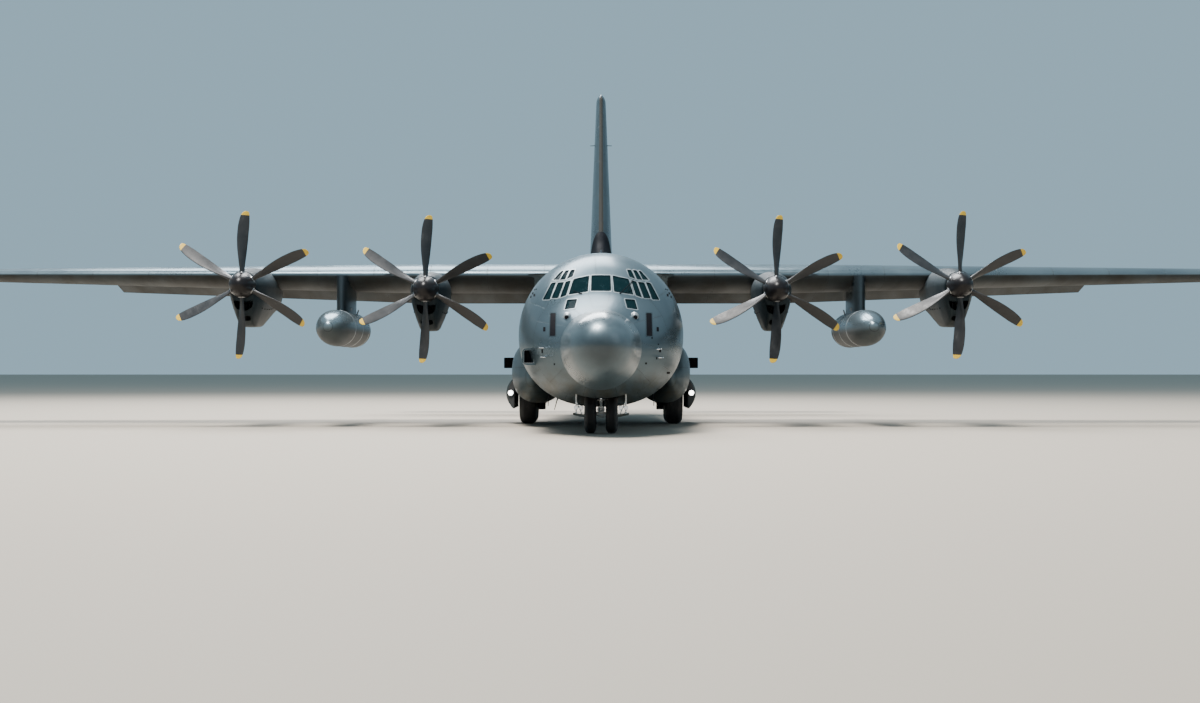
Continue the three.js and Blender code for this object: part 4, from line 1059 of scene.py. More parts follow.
def on_section(name, points):
    """Puts points, in shares of the chord, on a section in the aeroplane. A fin stands upright."""
    span, station, level, chord, twist, _, _ = SECTIONS[name]
    u, v = np.array(points, float).T
    angle = math.radians(twist)
    back, rise = (u - 0.25) * chord, v * chord
    y = station + back * math.cos(angle) + rise * math.sin(angle)
    z = level - back * math.sin(angle) + rise * math.cos(angle)
    if name.startswith("fin"):
        return spot(z, y, span)
    return spot(span, y, z)


def whole_outline(name):
    thick, camber = SECTIONS[name][5:]
    turn = np.linspace(0, 1, WING_SIDES - 1)
    u = (1 + np.cos(2 * np.pi * turn)) / 2
    v = camber_at(u, camber) + np.sign(0.5 - turn) * half_thickness(u, thick)
    edge = [[1, camber_at(1, camber)]]
    return np.concatenate([edge, np.stack([u, v], 1)])


def skin_run(name, start, end, side, steps=12):
    """Points along one side of a section, from one share of the chord to another."""
    thick, camber = SECTIONS[name][5:]
    u = np.linspace(start, end, steps)
    return np.stack([u, camber_at(u, camber) + side * half_thickness(u, thick)], 1)


def arc_points(u, v, radius, start, end):
    angle = np.radians(np.linspace(start, end, 17))
    return np.stack([u + radius * np.cos(angle), v + radius * np.sin(angle)], 1)


def moving_outline(name, hinge):
    """A hinged surface: a round nose on the hinge, then the section's tail."""
    thick, camber = SECTIONS[name][5:]
    nose = arc_points(hinge, camber_at(hinge, camber), half_thickness(hinge, thick) * 0.96, 100, 260)
    return np.concatenate([skin_run(name, 1, hinge, 1), nose, skin_run(name, hinge, 1, -1)])


def cove_outline(name, hinge):
    """The room that a hinged surface needs in the fixed one."""
    _, _, _, chord, _, thick, camber = SECTIONS[name]
    radius = half_thickness(hinge, thick) + GAP / chord
    cove = arc_points(hinge, camber_at(hinge, camber), radius, 120, 240)
    front = cove[0][0]
    return np.concatenate([[[1.06, 0.16], [front, 0.16]], cove, [[front, -0.16], [1.06, -0.16]]])


def between(panel, outline, spans):
    """Rings of an outline at span positions, on the straight lines from root to tip."""
    root, tip = PANELS[panel]
    a, b = on_section(root, outline(root)), on_section(tip, outline(tip))
    shares = (np.asarray(spans, float) - SECTIONS[root][0]) / (SECTIONS[tip][0] - SECTIONS[root][0])
    return a + shares[:, None, None] * (b - a)


def lofted(rings):
    """A closed skin through rings of points, given in metres."""
    rings = np.asarray(rings)
    count = rings.shape[1]

    def where(share, row):
        return rings[row, np.rint(share * count).astype(int) % count]

    return rolled(count, len(rings) - 1, where)


def with_round_tip(rings, reach, plan=0.1, axis=0):
    """Adds rows that close a surface's tip with a soft edge, within its last stretch."""
    last, before = rings[-1], rings[-2]
    direction = (last - before).mean(0)
    direction /= abs(direction[axis])
    rows_added = []
    for angle in np.linspace(0, 90, 9)[1:]:
        s, c = math.sin(math.radians(angle)), math.cos(math.radians(angle))
        middle = (last + last[(-np.arange(len(last))) % len(last)]) / 2
        thin = middle + (last - middle) * max(c, 0.0)
        centre = thin.mean(0)
        across = thin - centre
        across[:, 1] *= 1 - plan * (1 - c)
        rows_added.append(centre + across + direction * reach * UNIT * s)
    return np.concatenate([rings, rows_added])


def hinge_line(panel, hinge, span):
    def point(name):
        return [[hinge, camber_at(hinge, SECTIONS[name][6])]]
    return between(panel, point, [span])[0, 0]


def turned_about(piece, start, end, degrees):
    """Turns a mesh about the line through two points, by the right-hand rule."""
    axis = (end - start) / np.linalg.norm(end - start)
    angle = math.radians(degrees)
    points = points_of(piece) - start
    along = points @ axis
    turned = (
        points * math.cos(angle) + np.cross(axis, points) * math.sin(angle)
        + np.outer(along, axis) * (1 - math.cos(angle))
    )
    set_points(piece, turned + start)
    return piece


def surface(panel, hinge, start, end, rest=0.0, gap=GAP, rows_count=10):
    """A hinged surface between two span positions, its tail lowered by its angle at rest."""
    step = math.copysign(1, end - start)
    spans = np.linspace(start + step * gap, end - step * gap, rows_count)
    piece = lofted(between(panel, lambda name: moving_outline(name, hinge), spans))
    return turned_about(piece, hinge_line(panel, hinge, start), hinge_line(panel, hinge, end), -rest * step)


def cove(panel, hinge, start, end):
    return lofted(between(panel, lambda name: cove_outline(name, hinge), [start, end]))


# %% Wing
FLAP_HINGE = 0.73
AILERON_HINGE = 0.74
FLAP_REST = 18
INNER_FLAP = (2060, 5430)
OUTER_FLAP = (5750, 14850)
AILERON = (15030, 19860)
TIP_REACH = 330


def straight(outline, places):
    """A skin with the wing root's section at each place across, for the straight middle of the wing."""
    ring = on_section("wing_root", outline)
    rings = np.repeat(ring[None], len(places), 0)
    rings[:, :, 0] = (np.asarray(places, float) * UNIT)[:, None]
    return lofted(rings)


hinge_point = on_section("wing_root", [[FLAP_HINGE, camber_at(FLAP_HINGE, SECTIONS["wing_root"][6])]])[0]
centre_flap = turned_about(
    straight(moving_outline("wing_root", FLAP_HINGE), np.linspace(INNER_FLAP[0] + GAP, INNER_FLAP[1] - GAP, 6)),
    hinge_point, hinge_point + [1, 0, 0], -FLAP_REST,
)
centre_cove = straight(cove_outline("wing_root", FLAP_HINGE), INNER_FLAP)
centre_wing = cut(straight(whole_outline("wing_root"), np.linspace(-CENTRE_SPAN, CENTRE_SPAN, 15)),
                  mirrored(centre_cove), centre_cove)
tip_start = SECTIONS["wing_tip"][0] - TIP_REACH
outer_rings = with_round_tip(between("wing", whole_outline, np.linspace(CENTRE_SPAN, tip_start, 16)), TIP_REACH)
outer_wing = cut(
    lofted(outer_rings),
    cove("wing", FLAP_HINGE, *OUTER_FLAP),
    cove("wing", AILERON_HINGE, *AILERON),
)
print("outer wing:", len(outer_wing.data.polygons), "faces")


# How far across the propellers' shafts stand, in the model's metres.
SHAFTS_ACROSS = (2.44, 4.9925)


def exhaust_soot(board):
    """Soot on the flaps and the wing's underside, behind each engine's exhaust."""
    _, x, y, z = board.place()
    inner, outer = [abs(abs(x) - across).fade(0.36, 0.05) for across in SHAFTS_ACROSS]
    patches = board.noise(3.0, stretch=(1, 6, 1), detail=5).fade(0.35, 0.7)
    return inner.math("MAXIMUM", outer) * y.fade(-0.5, 0.1) * z.fade(2.28, 2.15) * patches


# The middle line of a surface. Columns: distance across, Y, Z, fall for each metre aft.
WING_MIDDLE = [[2.794, -1.7975, 2.187, 0.0524], [10.1, -1.4975, 2.213, 0.0105]]
FLAP_MIDDLE = [[2.794, -0.0163, 2.094, 0.384], [7.425, -0.3813, 2.169, 0.354]]


def below(middle):
    """Painted shade: the lower side of a surface, painted darker and duller than the upper one."""

    def shade(board):
        _, x, y, z = board.place()
        share = abs(x).fade(middle[0][0], middle[1][0])
        start, level, fall = [share * (tip - root) + root for root, tip in zip(middle[0][1:], middle[1][1:])]
        height = z - level + (y - start) * fall
        return height.fade(0.004, -0.010) * board.noise(2.5, stretch=(1, 6, 1)).fade(0.2, 0.8, 1.0, 0.72)

    return shade


# The wing's and flaps' paints carry exhaust soot and painted shade on their lower sides.
sooty_wing_with_shade, sooty_flap_with_shade = [
    aircraft_paint(name, SKIN_GREY, wing_seams, belly=NO_BELLY, soot=exhaust_soot, shade=below(middle))
    for name, middle in (("satin_grey_wing_soot_and_shade", WING_MIDDLE), ("satin_grey_flap_soot_and_shade", FLAP_MIDDLE))
]
finish(centre_wing, "center_wing", sooty_wing_with_shade, replaces="center_wing")
finish_pair(outer_wing, "outer_wing", sooty_wing_with_shade, "outer_wing")
finish_pair(centre_flap, "inner_flap", sooty_flap_with_shade, "inner_flap", True)
finish_pair(surface("wing", FLAP_HINGE, *OUTER_FLAP, rest=FLAP_REST), "outer_flap", sooty_flap_with_shade,
            "outer_flap", True)
finish_pair(surface("wing", AILERON_HINGE, *AILERON), "aileron", sooty_wing_with_shade, "aileron", True)

# A concave fairing fills the corner between the wing's lower side and the fuselage.
ROOT_FAIRING = {"inner": 1080, "side": 520, "reach": 560, "drop": 400, "start": 10500, "end": 14700}
fairing_turn = np.linspace(0, np.pi / 2, 14)
root_rings = []
for station in np.linspace(ROOT_FAIRING["start"], ROOT_FAIRING["end"], 40):
    swell = min(1, max(0.03, (station - ROOT_FAIRING["start"]) / 800)) ** 0.7
    swell *= min(1, max(0.03, (ROOT_FAIRING["end"] - station) / 1200)) ** 0.8
    share = max((station - 11300) / 4880, 0.0)
    thick, camber = SECTIONS["wing_root"][5:]
    lower = 4374 - share * 4880 * math.sin(math.radians(3))
    lower -= (half_thickness(share, thick) - camber_at(share, camber)) * 4880
    width = ROOT_FAIRING["side"] + ROOT_FAIRING["reach"] * (1 - np.sin(fairing_turn))
    curve_x = ROOT_FAIRING["inner"] + width * swell
    curve_z = lower + 24 - ROOT_FAIRING["drop"] * swell * (1 - np.cos(fairing_turn))
    across = np.concatenate([curve_x, [ROOT_FAIRING["inner"]] * 2])
    level = np.concatenate([curve_z, [curve_z[-1], curve_z[0]]])
    root_rings.append(spot(across, station, level))
finish_pair(lofted(root_rings), "wing_root_fairing", hull_paint, smooth=40)
print("wing done")

# %% [markdown]
# The tail is made the same way: one stabilizer through the tail cone and an upright fin. In front
# of the fin stands a fillet whose leading edge has a black rubber strip against ice.

# %% Tail
ELEVATOR = {"hinge": 0.66, "span": (800, 7700), "gap": 34}
RUDDER = {"hinge": 0.68, "span": (5350, 11300), "gap": 44}
tail_tip_start = SECTIONS["tail_tip"][0] - 260
half_rings = with_round_tip(between("tail", whole_outline, np.linspace(0, tail_tip_start, 10)), 260)
other_rings = half_rings[:0:-1].copy()
other_rings[:, :, 0] *= -1
stabilizer = lofted(np.concatenate([other_rings, half_rings]))
tail_cove = cove("tail", ELEVATOR["hinge"], *ELEVATOR["span"])
stabilizer = cut(stabilizer, mirrored(tail_cove), tail_cove)
finish(stabilizer, "horizontal_stabilizer", tail_paint, replaces="horizontal_stabilizer")
elevator = surface("tail", ELEVATOR["hinge"], *ELEVATOR["span"], gap=ELEVATOR["gap"])
finish_pair(elevator, "elevator", tail_paint, "elevator", True)

fin_end = SECTIONS["fin_end"][0] - 300
fin_rings = with_round_tip(between("fin", whole_outline, np.linspace(4560, fin_end, 12)), 300, 0.22, axis=2)
fin = cut(lofted(fin_rings), cove("fin", RUDDER["hinge"], *RUDDER["span"]))
finish(fin, "vertical_fin", fin_paint, replaces="vertical_fin")
rudder = surface("fin", RUDDER["hinge"], *RUDDER["span"], gap=RUDDER["gap"])
finish(rudder, "rudder", fin_paint, "rudder", "rudder")

# Columns: station, height of the fillet's top, half width at its foot.
FILLET = np.array([
    [18800, 4720, 70], [20400, 4990, 200], [22000, 5480, 320], [23300, 6080, 395],
    [24150, 6560, 425], [24700, 5800, 440], [25300, 4950, 435],
])
FILLET_FOOT = 4450
fillet_stations = np.concatenate([
    np.arange(18800, 24150, 130), [24150, 24240, 24360, 24500, 24700, 25000, 25300],
])
fillet_top, fillet_width = curves_of(FILLET)


def fillet_skin(share, row):
    station = fillet_stations[row]
    angle = np.minimum(share * 1.25, 1) * np.pi
    top, width = fillet_top(station), fillet_width(station)
    across = np.sign(np.cos(angle)) * np.abs(np.cos(angle)) ** 0.8 * width
    across = np.where(share > 0.8, -width + (share - 0.8) / 0.2 * 2 * width, across)
    level = np.where(share > 0.8, FILLET_FOOT, FILLET_FOOT + np.abs(np.sin(angle)) ** 0.8 * (top - FILLET_FOOT))
    return spot(across, station, level)


FILLET_START = 1.9525
FILLET_RUN = 2.675


def ice_boot(board):
    """Where the black strip lies: near the fillet's sloping top line."""
    _, _, y, z = board.place()
    run = ((y - FILLET_START) * (1 / FILLET_RUN)).math("MAXIMUM", 0.0).math("POWER", 1.6)
    return (z - (run * 0.92 + 1.91)).fade(-0.012, 0.012)


fillet_paint = worn_finish("fillet_with_ice_boot", (0.05, 0.072, 0.084), 0.6, wear=(0.04, 0.045, 0.05),
                           scale=3, extra={"Specular IOR Level": 0.02},
                           second=((0.004, 0.005, 0.007), ice_boot))
fillet = rolled(80, len(fillet_stations) - 1, fillet_skin)
finish(fillet, "dorsal_fin", fillet_paint, replaces="dorsal_fin")
print("tail done")

# %% [markdown]
# Each nacelle hangs its intakes under the spinner: a wide mouth shaped like a smile, and a small
# one below it for the oil cooler. Its section is half an ellipse on top and tapers to a narrow flat
# foot. The mouths are cut in, and a lip follows each one on the curved cowling.

# %% Nacelle lines
# Columns: distance aft of the propeller, half width, height over the shaft, depth, half foot.
NACELLE = np.array([
    [170, 392, 392, 560, 200], [480, 450, 450, 960, 230], [1100, 520, 520, 1150, 250],
    [2000, 545, 570, 1130, 240], [2900, 500, 590, 960, 230], [4100, 400, 500, 690, 220],
    [5100, 290, 380, 500, 200], [5650, 215, 250, 400, 160],
])
NACELLE_SIDE = np.array([[0, 0], [0.3, 0.12], [0.65, 0.5], [0.9, 0.86], [0.97, 0.97], [1, 1.12]])
PROP_STATION = 8600
ENGINES = {1: (9985, 3970), 2: (4880, 3857), 3: (-4880, 3857), 4: (-9985, 3970)}
nacelle_lines = curves_of(NACELLE)
side_taper, = curves_of(NACELLE_SIDE)
FOOT_SHARE = 0.9
nacelle_rows = np.concatenate([[170, 178, 200, 240], np.arange(300, 5600, 110), [5650]])
LIP_TUCK = (26, 14, 5, 0)


def nacelle_skin(rows_here, inset=0.0):
    """The cowling about its own shaft. Its first rows tuck in to a rounded lip."""
    tuck = np.interp(rows_here, nacelle_rows[:4], LIP_TUCK) + inset

    def where(share, row):
        back = rows_here[row]
        half_width, rise, depth, foot = [line(back) for line in nacelle_lines]
        half_width, rise, depth, foot = [size - tuck[row] for size in (half_width, rise, depth, foot)]
        folded = np.where(share < 0.5, share, 1 - share) * 2
        crown = np.clip(folded / 0.5, 0, 1)
        angle = np.pi / 2 * (1 - crown)
        fall = np.clip((folded - 0.5) / 0.38, 0, 1)
        under = np.clip((folded - 0.88) / 0.12, 0, 1)
        narrowed = half_width + (foot * FOOT_SHARE - half_width) * side_taper(fall)
        across = np.where(folded <= 0.5, np.cos(angle) * half_width, narrowed * (1 - under))
        up = np.where(folded <= 0.5, np.sin(angle) * rise, -depth * fall - under * 6)
        sign = np.where(share < 0.5, 1, -1)
        return np.stack([across * sign * UNIT, back * UNIT, up * UNIT], -1)

    return rolled(112, len(rows_here) - 1, where)


SMILE = [[-268, -415], [-200, -452], [-100, -472], [0, -478], [100, -472], [200, -452], [268, -415],
         [262, -520], [235, -600], [180, -665], [95, -702], [0, -712], [-95, -702], [-180, -665],
         [-235, -600], [-262, -520]]
cooler_ring = squared_ring(np.linspace(0, 2 * np.pi, 28, endpoint=False), 2 / 3.2)
COOLER = np.stack([cooler_ring[0] * 172, -918 + cooler_ring[1] * 72], 1)
EXHAUST = {"radius": 150, "drop": 190, "start": 2400}


def local(shape):
    """A shape drawn at station 0 of the aeroplane, moved so that its station is its own Y."""
    set_points(shape, points_of(shape) + [0, MIDDLE * UNIT, 0])
    return shape


def duct(outline, start, end):
    return local(prism(outline, "Y", start, end))


mouths = [duct(SMILE, -50, 1000), duct(COOLER, -50, 1150)]
cowling = nacelle_skin(nacelle_rows)
exhaust_hole = local(bar(
    (0, EXHAUST["start"], -EXHAUST["drop"]), (0, 5900, -EXHAUST["drop"]), EXHAUST["radius"], 40,
))
shaft_hole = local(bar((0, -20, 0), (0, 540, 0), 84, 32))
cowling = cut(cowling, *mouths, exhaust_hole, shaft_hole)

near_rows = nacelle_rows[nacelle_rows < 1500]
inner_near_rows = np.concatenate([[190], near_rows[4:], [1600]])
strip = cut(nacelle_skin(near_rows, inset=-9), nacelle_skin(inner_near_rows, inset=26))
lips = []
for outline in (SMILE, COOLER):
    lip = common(copied(strip), duct(grown(outline, 20), 100, 1400))
    lips.append(cut(lip, duct(outline, 90, 1450)))
bpy.data.objects.remove(strip)
lips = joined(lips)
print("cowling:", len(cowling.data.polygons), "faces")

# %% [markdown]
# Behind the smile sits a plenum with vanes, and the exhaust ends in a heated steel pipe. The
# cowling's dark paint has its own seams: hoops round it and latches' lines along it.


# %% Nacelle paint, vanes and exhaust pipe
def nacelle_seams(board):
    _, x, y, z = board.place()
    offset = abs(abs(x) - 3.71625) - 1.27625
    angle = (z - 1.95).math("ARCTAN2", offset)
    return seams_between(board, y, angle * 0.3, 0.42, 0.31)


def nacelle_soot(board):
    _, x, y, z = board.place()
    patches = board.noise(4, stretch=(1, 5, 1), detail=5).fade(0.3, 0.7)
    return y.fade(-1.7, -0.5) * z.fade(1.95, 1.7) * patches


nacelle_paint = aircraft_paint("dark_grey_nacelle", (0.014, 0.021, 0.025), nacelle_seams, rough=0.5,
                               metallic=0.1, belly=(1.2, 1.8), dirt_and_reflection=0.1, soot=nacelle_soot, coat=0.03)
exhaust_pipe = local(turned_skin(
    [[148, 3900], [146, 5700], [138, 5702], [137, 4000], [148, 3900]], (0, 0, -EXHAUST["drop"]), "Y", 40))
vanes = [slab(x, 5, 620, 940, -690, -430, 2) for x in range(-200, 201, 100)]
vanes.append(slab(0, 265, 930, 960, -700, -420, 4))
vanes += [slab(x, 4, 700, 1000, -985, -850, 2) for x in range(-150, 151, 30)]
vanes = local(joined(vanes))
latches = []
for side in (-1, 1):
    for back in range(900, 3000, 350):
        half_width, depth, foot = [float(nacelle_lines[k](back)) for k in (0, 2, 3)]
        across = half_width + (foot * FOOT_SHARE - half_width) * float(side_taper(0.55))
        level = -depth * 0.55
        latches.append(local(slab(side * across, 14, back, back + 90, level - 16, level + 16, 6)))
latches = joined(latches)

# %% [markdown]
# A propeller has six broad blades like sabres. Each blade twists from a steep angle at the root to
# a flat one at the tip, because the tip moves faster, and its tip sweeps back. One blade is
# lofted, and the others are turned copies.

# %% Propeller
# Columns: radius, chord, thickness, pitch from the plane of rotation, sweep against the turning.
BLADE = np.array([
    [235, 150, 140, 64, 0], [420, 190, 96, 58, -6], [700, 260, 58, 50, -14], [1000, 322, 40, 43, -18],
    [1300, 352, 31, 38, -8], [1600, 345, 24, 34, 18], [1850, 292, 18, 30, 52], [2000, 205, 14, 28, 88],
    [2045, 120, 11, 27, 108], [2057, 40, 8, 27, 120],
])
BLADE_POINTS = 40
blade_lines = curves_of(BLADE)
blade_radii = np.concatenate([np.linspace(235, 1850, 22), [1900, 1950, 1990, 2015, 2035, 2048, 2057]])


def blade_skin(share, row):
    chord, thickness, pitch, sweep = [line(blade_radii[row]) for line in blade_lines]
    turn = np.clip(share * BLADE_POINTS, 0, BLADE_POINTS) / BLADE_POINTS
    u = (1 + np.cos(2 * np.pi * turn)) / 2
    bulk = half_thickness(u, 1.0) * np.sign(0.5 - turn) * thickness
    round_share = np.clip((700 - blade_radii[row]) / 465, 0, 1)
    bulk = bulk * (1 - round_share) + np.sin(2 * np.pi * turn) * thickness / 2 * round_share
    along = (u - 0.42) * chord + sweep
    turned = np.radians(pitch)
    return np.stack([
        (along * np.cos(turned) - bulk * np.sin(turned)) * UNIT,
        (along * np.sin(turned) + bulk * np.cos(turned)) * UNIT,
        blade_radii[row] * UNIT,
    ], -1)


def turned_copy(shape, degrees):
    """A copy turned about the shaft."""
    twin = copied(shape)
    angle = math.radians(degrees)
    x, y, z = points_of(twin).T
    set_points(twin, np.stack([x * math.cos(angle) + z * math.sin(angle), y,
                               z * math.cos(angle) - x * math.sin(angle)], 1))
    return twin


first_blade = rolled(BLADE_POINTS, len(blade_radii) - 1, blade_skin)
blades = joined([turned_copy(first_blade, angle) for angle in range(60, 360, 60)] + [first_blade])
cuff = local(turned_skin([[0, 190], [104, 190], [104, 330], [92, 352], [0, 352]], (0, 0, 0), "Z", 32))
SPINNER = np.array([[0, -640], [48, -634], [110, -608], [180, -548], [246, -450], [300, -310], [338, -150],
                    [358, 0], [366, 138], [352, 150], [70, 152], [70, 480], [0, 480]])
spinner = local(turned_skin(SPINNER, (0, 0, 0), "Y", 72))
spinner_collars = joined([turned_copy(cuff, angle) for angle in range(0, 360, 60)])
bpy.data.objects.remove(cuff)
YELLOW = (0.62, 0.4, 0.03)


def propeller_paint(name, across, level):
    """Black blades with worn patches and yellow tips, by the distance from one hub."""

    def tip(board):
        _, x, _, z = board.place()
        off_x, off_z = x - across * UNIT, z - level * UNIT
        return (off_x * off_x + off_z * off_z).math("SQRT").fade(0.972, 0.976)

    return worn_finish(name, (0.016, 0.017, 0.019), 0.42, wear=(0.1, 0.1, 0.1), amount=0.35, scale=7,
                       second=(YELLOW, tip))


spinner_black = worn_finish("spinner_black", (0.009, 0.008, 0.009), 0.34, wear=(0.03, 0.027, 0.025), amount=0.3,
                            extra={"Specular IOR Level": 0.22})

# %% Four engines from one set of pieces
for number, (across, level) in ENGINES.items():

    def placed(shape):
        twin = copied(shape)
        set_points(twin, points_of(twin) + spot(across, PROP_STATION, level))
        return twin

    finish(placed(cowling), f"nacelle_{number}", nacelle_paint, replaces=f"nacelle_{number}")
    finish(placed(lips), f"intake_lips_{number}", nacelle_paint)
    finish(placed(vanes), f"intake_vanes_{number}", dark_bay)
    finish(placed(latches), f"cowl_latches_{number}", matt_black)
    finish(placed(exhaust_pipe), f"exhaust_pipe_{number}", hot_metal)
    body = f"propeller_{number}"
    blade_paint = propeller_paint(f"blade_paint_{number}", across, level)
    finish(placed(blades), f"{body}_blades", blade_paint, body, body, 40)
    finish(placed(spinner), f"{body}_spinner", spinner_black, body, smooth=40)
    finish(placed(spinner_collars), f"{body}_collars", bare_steel, body)
for shape in (cowling, lips, vanes, latches, exhaust_pipe, blades, spinner, spinner_collars):
    bpy.data.objects.remove(shape)
for number in ENGINES:
    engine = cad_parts[f"engine_{number}"]
    engine.data.materials.clear()
    engine.data.materials.append(bare_steel)
print("engines done")

# %% [markdown]
# The drop tanks are long spindles on short pylons between the engines. They are polished more than
# the airframe, so their noses shine. Columns of the table are radius and station.

# %% Tanks and pylons
TANK_ACROSS = 7560
TANK_LEVEL = 2800
TANK = np.array([[520, 10400], [520, 13700], [400, 15000], [200, 16400], [50, 17420], [0, 17500]])
tank_radius = curve_through(TANK[:, 1], TANK[:, 0])
NOSE_TIP, NOSE_BACK, TANK_RADIUS = 8300, 10400, 520
nose_reach = NOSE_BACK - NOSE_TIP
nose_stations = NOSE_TIP + nose_reach * np.linspace(0, 1, 26) ** 2
tank_stations = np.concatenate([nose_stations, np.linspace(10600, 17200, 30), [17420, 17500]])
nose_share = ((NOSE_BACK - tank_stations) / nose_reach).clip(0, 1)
round_nose = np.sqrt(1 - nose_share ** 2.6) * TANK_RADIUS
tank_radii = np.where(tank_stations < NOSE_BACK, round_nose, tank_radius(tank_stations))
tank_profile = np.stack([tank_radii, tank_stations], 1)


def tank_seams(board):
    _, x, y, z = board.place()
    angle = (z - 1.4).math("ARCTAN2", abs(x) - 3.78)
    return seams_between(board, y + 0.31, angle * 0.26, 0.74, 0.8)


def tank_shade(board):
    """Painted shade: the lower half of a tank, painted darker and duller."""
    return board.place()[3].fade(1.47, 1.33) * 0.75


# The tanks' paint has painted shade on their lower halves.
tank_paint = aircraft_paint("bright_grey_tank", (0.15, 0.2, 0.228), tank_seams, rough=0.2, metallic=0.7,
                            belly=(1.1, 1.4), dirt_and_reflection=0.35, shade=tank_shade)
tank = turned_skin(tank_profile, (TANK_ACROSS, 0, TANK_LEVEL), "Y", 72)
bands = [turned_skin([[514, s - 26], [524, s - 22], [524, s + 22], [514, s + 26], [514, s - 26]],
                     (TANK_ACROSS, 0, TANK_LEVEL), "Y", 72) for s in (10430, 12100, 13600)]
tail_fin = slab(TANK_ACROSS, 8, 16000, 17100, TANK_LEVEL + 120, TANK_LEVEL + 300, 5)
finish_pair(tank, "drop_tank", tank_paint, "drop_tank")
finish_pair(joined([*bands, tail_fin]), "tank_bands", silver_trim)

PYLON = {"half_width": 210, "start": 11050, "end": 14350, "bottom": 3000, "top": 4350}


def pylon_seams(board):
    _, _, y, z = board.place()
    return seams_between(board, y, z, 0.42, 0.3)


# A darker copy of the airframe's grey: painted shade on the pylons under the wing.
pylon_paint = aircraft_paint("satin_grey_pylon", (0.045, 0.06, 0.07), pylon_seams, belly=NO_BELLY)
pylon_turn = np.linspace(0, 1, 48, endpoint=False)
pylon_rings = []
for level in np.linspace(PYLON["bottom"], PYLON["top"], 6):
    share = (1 - np.cos(2 * np.pi * pylon_turn)) / 2
    station = PYLON["start"] + share * (PYLON["end"] - PYLON["start"])
    width = np.sin(np.pi * share ** 0.62) ** 0.62 * PYLON["half_width"]
    across = TANK_ACROSS + np.where(pylon_turn < 0.5, width, -width)
    pylon_rings.append(spot(across, station, level))
finish_pair(lofted(pylon_rings), "tank_pylon", pylon_paint, "tank_pylon", smooth=50)
sway_braces = joined([
    bar((TANK_ACROSS + side * 150, station, TANK_LEVEL + 420),
        (TANK_ACROSS + side * 215, station, 3420), 22, 16)
    for side in (-1, 1) for station in (11750, 13450)
])
finish_pair(sway_braces, "sway_braces", bare_steel)
print("tanks done")

# %% [markdown]
# A fairing on each side of the belly holds the main wheels. It is lofted through squarish ovals,
# with both its ends rounded off, and the wheel well is then cut out of it. A black box stands out on
# its aft end, with a steel grid on its face.

# %% Side fairings
# Columns: station, centre across, centre level, half width, half height.
FAIRING = np.array([
    [8600, 1930, 1400, 130, 220], [9200, 1900, 1460, 430, 600], [10200, 1850, 1530, 680, 850],
    [11300, 1810, 1570, 780, 920], [13000, 1810, 1570, 780, 920], [15050, 1810, 1570, 780, 920],
    [15700, 1830, 1600, 640, 760], [16200, 1900, 1640, 350, 430], [16420, 1980, 1680, 130, 160],
])
fairing_lines = curves_of(FAIRING)
FAIRING_POWER = 2 / 2.3
END_ROUNDING = (0.0, 0.45, 0.75, 0.92, 1.0)
fairing_rows = np.concatenate([
    [8600, 8606, 8625, 8660], np.arange(8720, 16330, 120), [16380, 16404, 16416, 16420],
])
fairing_swell = np.ones(len(fairing_rows))
fairing_swell[:5] = END_ROUNDING
fairing_swell[-5:] = END_ROUNDING[::-1]


def fairing_skin(share, row):
    across, level, half_width, half_height = [line(fairing_rows[row]) for line in fairing_lines]
    ring = squared_ring(share * 2 * np.pi, FAIRING_POWER)
    swell = fairing_swell[row]
    return spot(across + ring[0] * half_width * swell, fairing_rows[row], level + ring[1] * half_height * swell)


def near_barrel(start, end, inset):
    """The barrel between two stations, with the fuselage's own rows in between."""
    near = rows[(rows > start) & (rows < end)]
    return barrel(np.concatenate([[start], near, [end]]), inset)


def fairing_seams(board):
    _, _, y, z = board.place()
    return seams_between(board, y, z, 0.62, 0.34)


# A darker copy of the airframe's grey: painted shade on the low side fairings, and on the doors and small parts
# painted with it.
fairing_paint = aircraft_paint("satin_grey_fairing", (0.058, 0.082, 0.094), fairing_seams, rough=0.38,
                               belly=(0.4, 0.75))
fairing = cut(
    rolled(96, len(fairing_rows) - 1, fairing_skin), near_barrel(8000, 17000, 30),
    block((1000, MAIN_WELL["start"], -100), (2480, MAIN_WELL["end"], MAIN_WELL["top"]), 60, 4),
    block((1000, MAIN_WELL["start"], -100), (2700, MAIN_WELL["end"], 1460), 0),
)
finish_pair(fairing, "sponson", fairing_paint, "sponson", smooth=40)
finish_pair(block((2350, 15080, 1660), (3020, 15560, 1990), 22, 3), "side_box", matt_black)
grid = [block((2995, station - 5, 1700), (3019, station + 5, 1950), 2) for station in range(15120, 15530, 45)]
grid += [block((2995, 15115, level - 5), (3019, 15525, level + 5), 2) for level in range(1712, 1950, 56)]
finish_pair(joined(grid), "side_box_grid", bare_steel)

# %% [markdown]
# A tyre and a wheel are lathe work: one profile turned about the axle. The tyre has grooves round
# its tread, and the wheel has a dish with two rings of bolts on each face.


# %% Tyres and wheels
def both_sides(half, bridge=()):
    """A closed profile from one half of it, which is mirrored about the wheel's middle."""
    half = half + list(bridge)
    return half + [[r, -x] for r, x in reversed(half)] + [half[0]]


